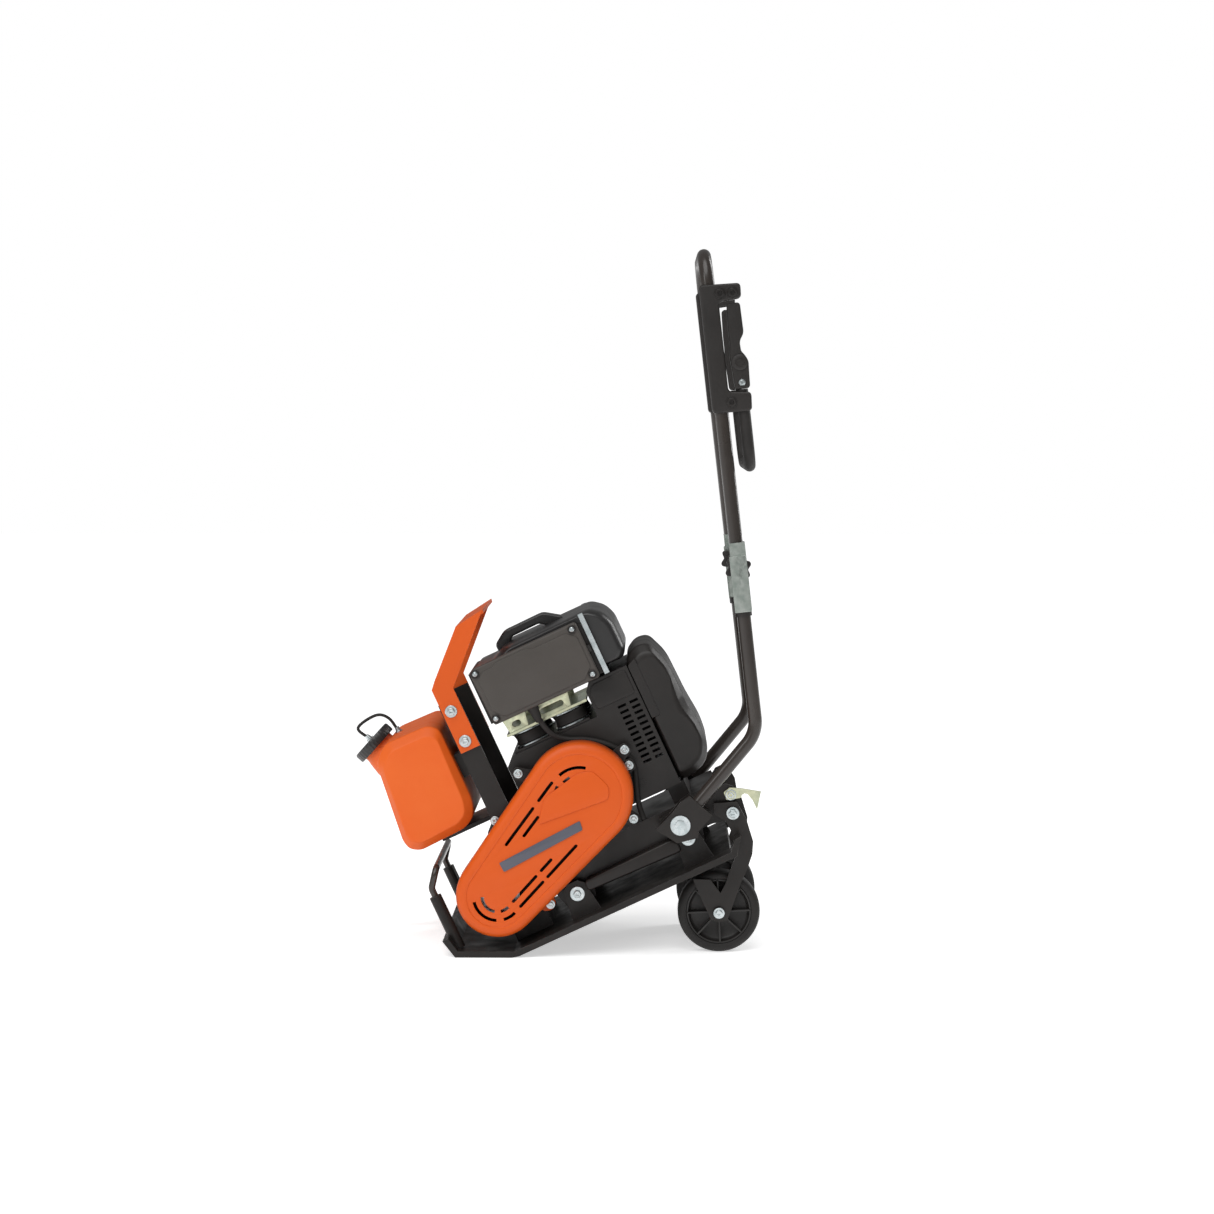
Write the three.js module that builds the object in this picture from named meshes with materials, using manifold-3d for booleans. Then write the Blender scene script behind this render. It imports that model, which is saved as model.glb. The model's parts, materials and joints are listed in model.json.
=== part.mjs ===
// Forward plate compactor with an electric drive, parked nose-down on its folding transport wheels.
// Millimetres, +Z up, +X to the operator's side at the rear, +Y to the machine's right-hand side.
// The pieces are drawn in the machine's own frame: u runs rearward along the working face and v stands
// square to it. The whole machine is then tipped by PARK_TILT about Y, and its origin is the bottom
// centre of its box.

import * as THREE from 'three';
import { mergeVertices } from 'three/addons/utils/BufferGeometryUtils.js';
import Module from 'manifold-3d';

const wasm = await Module();
wasm.setup();

const { PI } = Math;
const rad = THREE.MathUtils.degToRad;

// Gaps
const TOUCH = 0.3; // between pieces that rest on each other
const RUNNING = 0.6; // round a turning shaft or a sliding piece

// Machine
const PARK_TILT = 25;

// Base plate
const PLATE_WIDTH = 350;
const PLATE_THICKNESS = 10;
const PLATE_REAR = 390;
const RAMP_LENGTH = 97.6;
const RAMP_ANGLE = 25;
const LIP_HEIGHT = 32;
const REAR_LIP_HEIGHT = 27;
const LUG_THICKNESS = 5;

// Lifting rod at the nose
const LIFT_U = -80;
const LIFT_Y = 140;
const LIFT_SLEEVE_RADIUS = 10;
const LIFT_SLEEVE_TOP = 140;
const LIFT_ROD_RADIUS = 5.5;
const LIFT_TOP = [-60, 180];

// Exciter, under the front of the machine
const EXCITER_U = 14;
const EXCITER_V = 101;
const EXCITER_RADIUS = 50;
const EXCITER_BORE = 40;
const EXCITER_HALF_WIDTH = 90;
const BEARING_WIDTH = 18;
const SHAFT_RADIUS = 15;
const SHAFT_NOSE_RADIUS = 12;
const WEIGHT_RADIUS = 35;

// Belt drive and its guard
const DRIVE_U = 202;
const DRIVE_V = 192;
const DRIVE_SHAFT_RADIUS = 11;
const DRIVE_GROOVE = 34;
const EXCITER_GROOVE = 26;
const BELT_HEIGHT = 9;
const BELT_WIDTH = 10;
const FLANGE_THICKNESS = 5;
const GUARD_LOWER_RADIUS = 67;
const GUARD_UPPER_RADIUS = 86;
const GUARD_DEPTH = 49;
const GUARD_WALL = 3;
const GUARD_ROUND = 7;
const BACK_PLATE = 3;
const SLOT_WIDTH = 5;

// Deck, sprung on four rubber mounts
const BEAM_INNER = 100;
const BEAM_THICKNESS = 12;
const DECK_TOP = 106;
const DECK_REAR = 400;
const EAR_OUTER = 118;
const MOUNT_RADIUS = 18;
const MOUNT_LENGTH = 15;
const MOUNT_SPOTS = [[129, 46], [329, 53]];

// Motor unit
const MOTOR_FRONT = 111;
const MOTOR_SPLIT = 355;
const MOTOR_REAR = 420;
const MOTOR_BOTTOM = 136;
const MOTOR_LOW_TOP = 290;
const MOTOR_TOP = 346;
const MOTOR_STEP = 278;
const MOTOR_HALF_WIDTH = 100;
const MOTOR_WALL = 5;
const STATOR_OUTER = 48;
const STATOR_BORE = 27;
const ROTOR_RADIUS = 26;

// Battery, its cradle and the isolators under it
const ISOLATOR_RADIUS = 29;
const ISOLATOR_HEIGHT = 25;
const ISOLATOR_PLATE = 4;
const ISOLATOR_U = [167, 237];
const ISOLATOR_Y = 66;
const CRADLE_FRONT = 118;
const CRADLE_REAR = 318;
const CRADLE_HALF_WIDTH = 112;
const CRADLE_BOTTOM = 352;
const TRAY_INSET = 15; // from the cradle's sides to the tray under it
const CRADLE_TOP = 440;
const CRADLE_WALL = 6;
const PANEL_THICKNESS = 22;
const BATTERY_REAR = 366;
const BATTERY_TOP = 455;
const GRIP_TOP = 476;
const HAND_FLOOR = 442;
const HAND_HALF_WIDTH = 60;
const STRAP_THICKNESS = 3;
const CABLE_RADIUS = 4.5;

// Front frame, lifting bail and water tank
const POST_FRONT = 53;
const POST_REAR = 88;
const POST_THICKNESS = 6;
const POST_TOP = 415;
const BAIL_THICKNESS = 5;
const TANK_HALF_WIDTH = 130;
const TANK_REAR = 38;
const TANK_BOTTOM = 214;
const TANK_SHELF_FRONT = -40;
const TANK_WALL = 5;
const SPRINKLER_HALF_WIDTH = 110;
const CAP_U = -83;
const CAP_V = 397;
const CAP_LEAN = 23;
const CAP_RADIUS = 37.5;
const CAP_HEIGHT = 16;
const TETHER_RADIUS = 2.5;
const NECK_RADIUS = 29;

// Handle
const HANDLE_INSIDE = 278; // clear width between the legs
const LEG_RADIUS = 11;
const LEG_WALL = 2;
const LEG_BEND = 55;
const LEG_TAIL = 15; // the lower leg runs on past its pivot
const HANDLE_PIVOT = [328.5, 82.2];
const ELBOW = [501, 164.5];
const HANDLE_TOP = [744.5, 888.6];
const FOLD_DISTANCE = 263; // from the elbow to the fold hinge
const FOLD_ABOVE = 43;
const FOLD_BELOW = 64;
const FOLD_CLEAR = 15; // from the fold hinge to the end of either leg
const SLEEVE_WALL = 2.5;
const BOW_BEND = 48;
const KNOB_RADIUS = 22;
const FOLD_BOLT_RADIUS = 4;
const PIVOT_BOLT_RADIUS = 6;
const BRACKET_PLATE = 5;

// Grip, in distances along the leg from the elbow and rearward of its axis
const GRIP_LOW = 511;
const GRIP_HIGH = 714;
const GRIP_ARM = 28;
const GRIP_REACH = 50;
const GRIP_SHELL = 14.5;
const GRIP_THICKNESS = 30;
const LOOP_OFFSET = 36;
const LOOP_BOTTOM = 424;
const LOOP_RADIUS = 9.5;
const LINK_THICKNESS = 22;

// Transport wheels
const WHEEL_U = 323.4;
const WHEEL_V = -77.4;
const WHEEL_RADIUS = 66.5;
const WHEEL_WIDTH = 35;
const AXLE_RADIUS = 6;
const EAR_PIN_RADIUS = 6;
const WHEEL_PIVOT = [411.4, 60.3];
const WHEEL_PLATE = 5;
const WHEEL_PLATE_INNER = 127.5;
const CROSS_PIN = [403.5, 30];
const LATCH_BOLT = [420.5, 86.7];

// Derived places across the machine
const BEAM_OUTER = BEAM_INNER + BEAM_THICKNESS;
const POST_INNER = BEAM_OUTER + TOUCH;
const POST_OUTER = POST_INNER + POST_THICKNESS;
const BACK_INNER = POST_OUTER + 1;
const BACK_OUTER = BACK_INNER + BACK_PLATE;
const GUARD_INNER = BACK_OUTER + TOUCH;
const GUARD_OUTER = GUARD_INNER + GUARD_DEPTH;
const LUG_INNER = BEAM_OUTER + MOUNT_LENGTH + 2 * TOUCH;
const LEG_Y = HANDLE_INSIDE / 2 + LEG_RADIUS;
const TRAY_HALF_WIDTH = CRADLE_HALF_WIDTH - TRAY_INSET;
const ISOLATOR_REACH = ISOLATOR_Y + ISOLATOR_RADIUS;
const PULLEY_INNER = GUARD_INNER + 4;
const PULLEY_WIDTH = BELT_WIDTH + 2 * (RUNNING + FLANGE_THICKNESS);

// ---------------------------------------------------------------- shapes and solids

function outline(points) {
  return new THREE.Shape(points.map(([u, v]) => new THREE.Vector2(u, v)));
}

// A plate: an outline in u and v, from y = low to y = high.
function slab(shape, low, high, options = {}) {
  const settings = { depth: high - low, bevelEnabled: false, curveSegments: 12, ...options };
  const geometry = new THREE.ExtrudeGeometry(shape, settings);
  geometry.rotateX(PI / 2);
  geometry.translate(0, high, 0);
  return geometry;
}

function box(uLow, uHigh, yLow, yHigh, vLow, vHigh) {
  const geometry = new THREE.BoxGeometry(uHigh - uLow, yHigh - yLow, vHigh - vLow);
  geometry.translate((uLow + uHigh) / 2, (yLow + yHigh) / 2, (vLow + vHigh) / 2);
  return geometry;
}

// A round bar across the machine.
function bar([u, v], radius, yLow, yHigh, sides = 24) {
  const geometry = new THREE.CylinderGeometry(radius, radius, yHigh - yLow, sides);
  geometry.translate(u, (yLow + yHigh) / 2, v);
  return geometry;
}

// A round bar square to the working face.
function post([u, y], radius, vLow, vHigh, sides = 24) {
  const geometry = new THREE.CylinderGeometry(radius, radius, vHigh - vLow, sides);
  geometry.rotateX(PI / 2);
  geometry.translate(u, y, (vLow + vHigh) / 2);
  return geometry;
}

// A piece turned about an axis across the machine. The profile is [radius, y] and closes on itself.
function turned([u, v], profile, sides = 24) {
  const points = profile.map(([radius, y]) => new THREE.Vector2(radius, y));
  const geometry = new THREE.LatheGeometry(points, sides);
  geometry.translate(u, 0, v);
  return geometry;
}

function ring([u, v], inner, outer, yLow, yHigh, sides = 24) {
  const profile = [[inner, yLow], [outer, yLow], [outer, yHigh], [inner, yHigh], [inner, yLow]];
  return turned([u, v], profile, sides);
}

function solid(geometry) {
  const bare = geometry.index ? geometry.clone() : mergeVertices(stripped(geometry));
  const merged = mergeVertices(stripped(bare), 1e-4);
  const mesh = new wasm.Mesh({
    numProp: 3,
    vertProperties: new Float32Array(merged.attributes.position.array),
    triVerts: new Uint32Array(merged.index.array),
  });
  return new wasm.Manifold(mesh);
}

function stripped(geometry) {
  const copy = geometry.clone();
  copy.deleteAttribute('normal');
  copy.deleteAttribute('uv');
  return copy;
}

function joined(...pieces) {
  const solids = pieces.map((piece) => (piece instanceof THREE.BufferGeometry ? solid(piece) : piece));
  return solids.reduce((whole, piece) => whole.add(piece));
}

function cut(whole, ...geometries) {
  return geometries.map(solid).reduce((rest, piece) => rest.subtract(piece), whole);
}

function toGeometry(manifold) {
  const mesh = manifold.getMesh();
  const geometry = new THREE.BufferGeometry();
  geometry.setAttribute('position', new THREE.BufferAttribute(mesh.vertProperties, 3));
  geometry.setIndex(new THREE.BufferAttribute(mesh.triVerts, 1));
  geometry.computeVertexNormals();
  return geometry;
}

// The outline of a belt round two circles.
function beltOutline(lowerRadius, upperRadius) {
  const along = Math.atan2(DRIVE_V - EXCITER_V, DRIVE_U - EXCITER_U);
  const distance = Math.hypot(DRIVE_V - EXCITER_V, DRIVE_U - EXCITER_U);
  const wrap = Math.acos((lowerRadius - upperRadius) / distance);
  const shape = new THREE.Shape();
  shape.absarc(DRIVE_U, DRIVE_V, upperRadius, along - wrap, along + wrap, false);
  shape.absarc(EXCITER_U, EXCITER_V, lowerRadius, along + wrap, along - wrap + 2 * PI, false);
  shape.closePath();
  return shape;
}

// A route with round bends, as a list of points with rings only where the tube turns.
function bentRoute(corners, radius, perBend = 6) {
  const points = [corners[0].clone()];
  for (let i = 1; i < corners.length - 1; i += 1) {
    const arriving = corners[i].clone().sub(corners[i - 1]).normalize();
    const leaving = corners[i + 1].clone().sub(corners[i]).normalize();
    const turn = arriving.angleTo(leaving);
    const setback = radius * Math.tan(turn / 2);
    const start = corners[i].clone().addScaledVector(arriving, -setback);
    const axis = arriving.clone().cross(leaving).normalize();
    const inward = axis.clone().cross(arriving);
    const centre = start.clone().addScaledVector(inward, radius);
    for (let step = 0; step <= perBend; step += 1) {
      const arm = start.clone().sub(centre);
      arm.applyAxisAngle(axis, (turn * step) / perBend);
      points.push(centre.clone().add(arm));
    }
  }
  points.push(corners[corners.length - 1].clone());
  return points;
}

// A curve that an extrusion follows point by point.
class Route extends THREE.Curve {
  constructor(points) {
    super();
    this.points = points;
  }

  getPoint(t, target = new THREE.Vector3()) {
    const place = t * (this.points.length - 1);
    const index = Math.min(Math.floor(place), this.points.length - 2);
    return target.lerpVectors(this.points[index], this.points[index + 1], place - index);
  }

  getPointAt(t, target) {
    return this.getPoint(t, target);
  }

  getTangentAt(t, target = new THREE.Vector3()) {
    const last = this.points.length - 1;
    const index = Math.round(t * last);
    const before = this.points[Math.max(index - 1, 0)];
    const here = this.points[index];
    const after = this.points[Math.min(index + 1, last)];
    const arriving = here.clone().sub(before).normalize();
    const leaving = after.clone().sub(here).normalize();
    return target.addVectors(arriving, leaving).normalize();
  }
}

function tube(points, radius, sides = 12) {
  const section = new THREE.Shape();
  section.absarc(0, 0, radius, 0, 2 * PI, false);
  return new THREE.ExtrudeGeometry(section, {
    steps: points.length - 1,
    extrudePath: new Route(points),
    curveSegments: sides / 2,
    bevelEnabled: false,
  });
}

const at = (u, y, v) => new THREE.Vector3(u, y, v);

// ---------------------------------------------------------------- materials

const finish = (color, roughness, metalness) =>
  new THREE.MeshStandardMaterial({ color, roughness, metalness });

const BLACK_PAINT = finish(0x1b1a19, 0.55, 0.2);
const ORANGE_PAINT = finish(0xe4581b, 0.5, 0);
const ORANGE_PLASTIC = finish(0xdb5a20, 0.55, 0);
const BLACK_PLASTIC = finish(0x151516, 0.6, 0);
const GREY_PLASTIC = finish(0x4a4a4c, 0.6, 0);
const RUBBER = finish(0x101010, 0.85, 0);
const ZINC = finish(0xb9bdbf, 0.35, 1);
const YELLOW_ZINC = finish(0xb8a56a, 0.4, 1);
const STEEL = finish(0x8f9193, 0.4, 1);
const CAST_IRON = finish(0x3a3a3a, 0.7, 0.6);
const ALUMINIUM = finish(0xa4a7a9, 0.45, 1);
const COPPER = finish(0x9a5a35, 0.4, 1);

// ---------------------------------------------------------------- assembly helpers

const machine = new THREE.Group();

function place(name, piece, material) {
  const geometry = piece instanceof THREE.BufferGeometry ? piece : toGeometry(piece);
  const mesh = new THREE.Mesh(geometry, material);
  mesh.name = name;
  machine.add(mesh);
}

const SIDES = [['left', -1], ['right', 1]];

// Low and high y of a layer between two distances from the middle, on one side.
function layer(side, inner, outer) {
  return side < 0 ? [-outer, -inner] : [inner, outer];
}

// ---------------------------------------------------------------- base plate

const rampFoot = [0, 0];
const rampHead = [-RAMP_LENGTH * Math.cos(rad(RAMP_ANGLE)), RAMP_LENGTH * Math.sin(rad(RAMP_ANGLE))];
const lipTop = [rampHead[0] - 7.5, rampHead[1] + LIP_HEIGHT];
const rearTip = [PLATE_REAR + 19, REAR_LIP_HEIGHT];

function basePlate() {
  const half = PLATE_WIDTH / 2;
  const inner = PLATE_THICKNESS * Math.tan(rad(RAMP_ANGLE / 2));
  const profile = outline([
    lipTop,
    rampHead,
    [rampFoot[0] - 6, 2.8],
    [rampFoot[0] + 6, 0],
    [PLATE_REAR, 0],
    rearTip,
    [rearTip[0] - 11, rearTip[1] - 1],
    [PLATE_REAR - 6, PLATE_THICKNESS],
    [inner, PLATE_THICKNESS],
    [rampHead[0] + 8, rampHead[1] + 7],
    [lipTop[0] + PLATE_THICKNESS, lipTop[1]],
  ]);
  const pieces = [slab(profile, -half, half)];
  for (const [, side] of SIDES) {
    const [low, high] = layer(side, LUG_INNER, LUG_INNER + LUG_THICKNESS);
    for (const [u, v] of MOUNT_SPOTS) {
      const lug = outline([[u - 26, 4], [u + 26, 4], [u + 18, v + 12], [u + 9, v + 20],
        [u - 9, v + 20], [u - 18, v + 12]]);
      pieces.push(slab(lug, low, high));
    }
    pieces.push(post([LIFT_U, side * LIFT_Y], LIFT_SLEEVE_RADIUS, rampHead[1] + 6, LIFT_SLEEVE_TOP, 16));
  }
  const notchHalf = WHEEL_PLATE_INNER + WHEEL_PLATE + 4;
  const notch = box(PLATE_REAR - 7, PLATE_REAR + 40, -notchHalf, notchHalf, -1, 60);
  const bores = [-1, 1].map((side) => post([LIFT_U, side * LIFT_Y], LIFT_ROD_RADIUS + TOUCH,
    LIFT_SLEEVE_TOP - 60, LIFT_SLEEVE_TOP + 1, 12));
  return cut(joined(...pieces), notch, ...bores);
}

// The lifting rod at the nose stands in two sleeves on the plate's front lip.
function liftHandle() {
  const foot = LIFT_SLEEVE_TOP - 55;
  const corners = [
    at(LIFT_U, -LIFT_Y, foot),
    at(LIFT_U, -LIFT_Y, LIFT_SLEEVE_TOP + 14),
    at(LIFT_TOP[0], -LIFT_Y, LIFT_TOP[1]),
    at(LIFT_TOP[0] + 0.1, LIFT_Y, LIFT_TOP[1]),
    at(LIFT_U, LIFT_Y, LIFT_SLEEVE_TOP + 14),
    at(LIFT_U, LIFT_Y, foot),
  ];
  return tube(bentRoute(corners, 13, 4), LIFT_ROD_RADIUS, 10);
}

place('base_plate', basePlate(), CAST_IRON);
place('lift_handle', liftHandle(), BLACK_PAINT);

// ---------------------------------------------------------------- exciter

const exciterAxis = [EXCITER_U, EXCITER_V];
const coverInner = EXCITER_HALF_WIDTH + TOUCH;
const coverOuter = coverInner + 7;
const bearingOuter = EXCITER_HALF_WIDTH - 4;
const bearingInner = bearingOuter - BEARING_WIDTH;

function exciterHousing() {
  const foot = box(4, 68, -EXCITER_HALF_WIDTH, EXCITER_HALF_WIDTH, PLATE_THICKNESS + TOUCH, EXCITER_V);
  const barrel = bar(exciterAxis, EXCITER_RADIUS, -EXCITER_HALF_WIDTH, EXCITER_HALF_WIDTH, 40);
  const bore = bar(exciterAxis, EXCITER_BORE, -EXCITER_HALF_WIDTH - 1, EXCITER_HALF_WIDTH + 1, 40);
  const end = bar(exciterAxis, EXCITER_RADIUS, EXCITER_HALF_WIDTH - 1, coverOuter, 40);
  return joined(cut(joined(foot, barrel), bore), end);
}

function exciterShaft() {
  const noseEnd = PULLEY_INNER + PULLEY_WIDTH + 2;
  const journal = bar(exciterAxis, SHAFT_RADIUS, -bearingOuter, bearingOuter - 2);
  const nose = bar(exciterAxis, SHAFT_NOSE_RADIUS, -noseEnd, -bearingOuter + 1);
  const half = new THREE.Shape();
  half.absarc(EXCITER_U, EXCITER_V, WEIGHT_RADIUS, PI, 2 * PI, false);
  half.closePath();
  return joined(journal, nose, slab(half, -bearingInner + 8, bearingInner - 8));
}

place('exciter_housing', exciterHousing(), CAST_IRON);
place('exciter_shaft', exciterShaft(), STEEL);
place('exciter_cover_left', ring(exciterAxis, SHAFT_NOSE_RADIUS + RUNNING, EXCITER_RADIUS,
  -coverOuter, -coverInner), CAST_IRON);
for (const [name, side] of SIDES) {
  const [low, high] = layer(side, bearingInner, bearingOuter);
  place(`exciter_bearing_${name}`, ring(exciterAxis, SHAFT_RADIUS + TOUCH, EXCITER_BORE - TOUCH, low, high),
    STEEL);
}

// ---------------------------------------------------------------- belt drive

const driveAxis = [DRIVE_U, DRIVE_V];
const pulleyLow = -PULLEY_INNER - PULLEY_WIDTH;
const pulleyHigh = -PULLEY_INNER;

function pulley(axis, bore, groove) {
  const flange = groove + BELT_HEIGHT;
  const lowFace = pulleyLow + FLANGE_THICKNESS;
  const highFace = pulleyHigh - FLANGE_THICKNESS;
  return turned(axis, [
    [bore, pulleyLow],
    [flange, pulleyLow],
    [flange, lowFace],
    [groove, lowFace],
    [groove, highFace],
    [flange, highFace],
    [flange, pulleyHigh],
    [bore, pulleyHigh],
    [bore, pulleyLow],
  ]);
}

function belt() {
  const lower = EXCITER_GROOVE + RUNNING;
  const upper = DRIVE_GROOVE + RUNNING;
  const shape = beltOutline(lower + BELT_HEIGHT, upper + BELT_HEIGHT);
  shape.holes.push(beltOutline(lower, upper));
  const low = pulleyLow + FLANGE_THICKNESS + RUNNING;
  return slab(shape, low, low + BELT_WIDTH, { curveSegments: 9 });
}

place('exciter_pulley', pulley(exciterAxis, SHAFT_NOSE_RADIUS + TOUCH, EXCITER_GROOVE), STEEL);
place('drive_pulley', pulley(driveAxis, DRIVE_SHAFT_RADIUS + TOUCH, DRIVE_GROOVE), STEEL);
place('v_belt', belt(), RUBBER);

// ---------------------------------------------------------------- belt guard

const EAR_SPOT = [82, 48];
const EAR_RADIUS = 9;

function slotBetween(from, to) {
  const along = Math.atan2(to[1] - from[1], to[0] - from[0]);
  const shape = new THREE.Shape();
  shape.absarc(to[0], to[1], SLOT_WIDTH / 2, along - PI / 2, along + PI / 2, false);
  shape.absarc(from[0], from[1], SLOT_WIDTH / 2, along + PI / 2, along + 1.5 * PI, false);
  shape.closePath();
  return shape;
}

function slotRound([u, v], radius, start, end) {
  const half = SLOT_WIDTH / 2;
  const shape = new THREE.Shape();
  shape.absarc(u, v, radius + half, rad(start), rad(end), false);
  shape.absarc(u, v, radius - half, rad(end), rad(start), true);
  shape.closePath();
  return shape;
}

// A slot beside the guard's centre line: side +1 above it and -1 below it.
function slotBeside(side, lowerRadius, upperRadius, start, end) {
  const distance = Math.hypot(DRIVE_V - EXCITER_V, DRIVE_U - EXCITER_U);
  const along = [(DRIVE_U - EXCITER_U) / distance, (DRIVE_V - EXCITER_V) / distance];
  const point = (length) => {
    const offset = side * (lowerRadius + ((upperRadius - lowerRadius) * length) / distance);
    return [EXCITER_U + along[0] * length - along[1] * offset,
      EXCITER_V + along[1] * length + along[0] * offset];
  };
  return slotBetween(point(start), point(end));
}

const OUTER_ROW = [38, 49];
const INNER_ROW = [24, 34];

function guardSlots() {
  return [
    slotBeside(1, ...OUTER_ROW, 75, 147),
    slotBeside(1, ...OUTER_ROW, 163, 198),
    slotBeside(1, ...INNER_ROW, 104, 141),
    slotBeside(-1, ...OUTER_ROW, 12, 65),
    slotBeside(-1, ...OUTER_ROW, 77, 144),
    slotBeside(-1, ...INNER_ROW, 11, 65),
    slotBeside(-1, ...INNER_ROW, 78, 101),
    slotRound(exciterAxis, OUTER_ROW[0], 168, 243),
    slotRound(exciterAxis, OUTER_ROW[0], 261, 293),
    slotRound(exciterAxis, INNER_ROW[0], 156, 235),
    slotRound(exciterAxis, INNER_ROW[0], 259, 292),
    slotRound(driveAxis, OUTER_ROW[1] - 2, 53, 108),
    slotRound(driveAxis, INNER_ROW[1], 92, 113),
  ];
}

function beltGuard() {
  const shell = slab(beltOutline(GUARD_LOWER_RADIUS - GUARD_ROUND, GUARD_UPPER_RADIUS - GUARD_ROUND),
    -GUARD_OUTER + GUARD_ROUND, -GUARD_INNER + GUARD_ROUND,
    { bevelEnabled: true, bevelSize: GUARD_ROUND, bevelThickness: GUARD_ROUND, bevelSegments: 3,
      curveSegments: 14 });
  const ear = bar(EAR_SPOT, EAR_RADIUS, -GUARD_INNER - 5, -GUARD_INNER, 16);
  const hollow = slab(beltOutline(GUARD_LOWER_RADIUS - GUARD_WALL, GUARD_UPPER_RADIUS - GUARD_WALL),
    -GUARD_OUTER + GUARD_WALL + 1, -GUARD_INNER, { curveSegments: 14 });
  const back = box(-200, 400, -GUARD_INNER, -GUARD_INNER + 30, -100, 400);
  const slots = guardSlots().map((shape) => slab(shape, -GUARD_OUTER - 1, -GUARD_OUTER + 8,
    { curveSegments: 3 }));
  return cut(joined(shell, ear), hollow, back, ...slots);
}

function guardBackPlate() {
  const plate = slab(beltOutline(GUARD_LOWER_RADIUS - 4, GUARD_UPPER_RADIUS - 4),
    -BACK_OUTER, -BACK_INNER, { curveSegments: 10 });
  const toMotor = [[158, 152], [246, 152], [202, 250]].map((spot) =>
    bar(spot, 8, -BACK_INNER - 1, -MOTOR_HALF_WIDTH - TOUCH, 16));
  const shafts = [[exciterAxis, SHAFT_NOSE_RADIUS], [driveAxis, DRIVE_SHAFT_RADIUS]].map(([axis, radius]) =>
    bar(axis, radius + 6, -BACK_OUTER - 1, -BACK_INNER + 1));
  return cut(joined(plate, ...toMotor), ...shafts);
}

place('belt_guard', beltGuard(), ORANGE_PAINT);
place('guard_back_plate', guardBackPlate(), BLACK_PAINT);

// ---------------------------------------------------------------- deck

const earPlate = outline([[366, 58], [398, 50], [424, 50], [431, 76], [429, 98], [420, 106], [408, 106],
  [395, 97], [366, 100]]);

// The pin that a wheel bracket's plate turns on, with its spacer and head.
function wheelPivotPin(side) {
  const reach = WHEEL_PLATE_INNER + WHEEL_PLATE + TOUCH;
  const shank = bar(WHEEL_PIVOT, EAR_PIN_RADIUS, ...layer(side, BEAM_OUTER, reach + 1), 16);
  const head = bar(WHEEL_PIVOT, 10, ...layer(side, reach, reach + 4), 20);
  const spacer = bar(WHEEL_PIVOT, 10, ...layer(side, BEAM_OUTER, WHEEL_PLATE_INNER - TOUCH), 20);
  return [shank, head, spacer];
}

function deckFrame() {
  const beam = outline([[POST_FRONT, 64], [94, 64], [104, 28], [153, 28], [160, 55], [300, 55], [308, 34],
    [350, 34], [356, 55], [DECK_REAR, 55], [DECK_REAR, DECK_TOP], [POST_FRONT, DECK_TOP]]);
  const pieces = [box(POST_REAR, DECK_REAR, -BEAM_OUTER, BEAM_OUTER, DECK_TOP - 6, DECK_TOP)];
  for (const [, side] of SIDES) {
    pieces.push(slab(beam, ...layer(side, BEAM_INNER, BEAM_OUTER)));
    pieces.push(slab(earPlate, ...layer(side, BEAM_OUTER - 1, EAR_OUTER)));
    pieces.push(...wheelPivotPin(side));
  }
  for (const rail of [150, 330]) {
    pieces.push(box(rail, rail + 30, -80, 80, DECK_TOP - 1, MOTOR_BOTTOM - TOUCH));
  }
  return joined(...pieces);
}


place('deck_frame', deckFrame(), BLACK_PAINT);
for (const [name, side] of SIDES) {
  MOUNT_SPOTS.forEach((spot, index) => {
    const [low, high] = layer(side, BEAM_OUTER + TOUCH, BEAM_OUTER + TOUCH + MOUNT_LENGTH);
    place(`shock_mount_${['front', 'rear'][index]}_${name}`, bar(spot, MOUNT_RADIUS, low, high), RUBBER);
  });
}

// ---------------------------------------------------------------- motor unit

function motorProfile(inset) {
  return outline([
    [MOTOR_FRONT + 6 + inset, MOTOR_BOTTOM + inset],
    [MOTOR_SPLIT, MOTOR_BOTTOM + inset],
    [MOTOR_SPLIT, MOTOR_TOP - inset],
    [MOTOR_STEP + 10 + inset, MOTOR_TOP - inset],
    [MOTOR_STEP + inset, MOTOR_TOP - 12 - inset],
    [MOTOR_STEP + inset, MOTOR_LOW_TOP - inset],
    [MOTOR_FRONT + 14 + inset, MOTOR_LOW_TOP - inset],
    [MOTOR_FRONT + inset, MOTOR_LOW_TOP - 14 - inset],
    [MOTOR_FRONT + inset, MOTOR_BOTTOM + 10 + inset],
  ]);
}

// The far half is the same width as the near one.
function motorCase() {
  const half = MOTOR_HALF_WIDTH;
  const skin = slab(motorProfile(0), -half, half);
  const hollow = slab(motorProfile(MOTOR_WALL), -half + MOTOR_WALL, half - MOTOR_WALL);
  const mouth = box(MOTOR_SPLIT - 20, MOTOR_SPLIT + 1, -half + MOTOR_WALL, half - MOTOR_WALL,
    MOTOR_BOTTOM + MOTOR_WALL, MOTOR_TOP - MOTOR_WALL);
  const shaftHole = bar(driveAxis, DRIVE_SHAFT_RADIUS + RUNNING, -half - 1, -half + MOTOR_WALL + 1);
  const vents = [];
  for (const u of [321, 342]) {
    for (let row = 0; row < 11; row += 1) {
      const v = 191 + (98 * row) / 10;
      vents.push(box(u - 7.3, u + 7.3, -half - 1, -half + MOTOR_WALL + 1, v - 2.2, v + 2.2));
    }
  }
  return cut(solid(skin), hollow, mouth, shaftHole, ...vents);
}

function rearCoverProfile(inset) {
  const start = MOTOR_SPLIT + TOUCH;
  return outline([
    [start, MOTOR_BOTTOM + inset],
    [382, MOTOR_BOTTOM + 6 + inset],
    [408 - inset, 158 + inset],
    [MOTOR_REAR - 2 - inset, 182],
    [MOTOR_REAR + 2 - inset, 215],
    [MOTOR_REAR - 2 - inset, 250],
    [MOTOR_REAR - 4 - inset, 320],
    [400 - inset, 364 - inset],
    [380, 368 - inset],
    [start, MOTOR_TOP + 8 - inset],
  ]);
}

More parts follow.
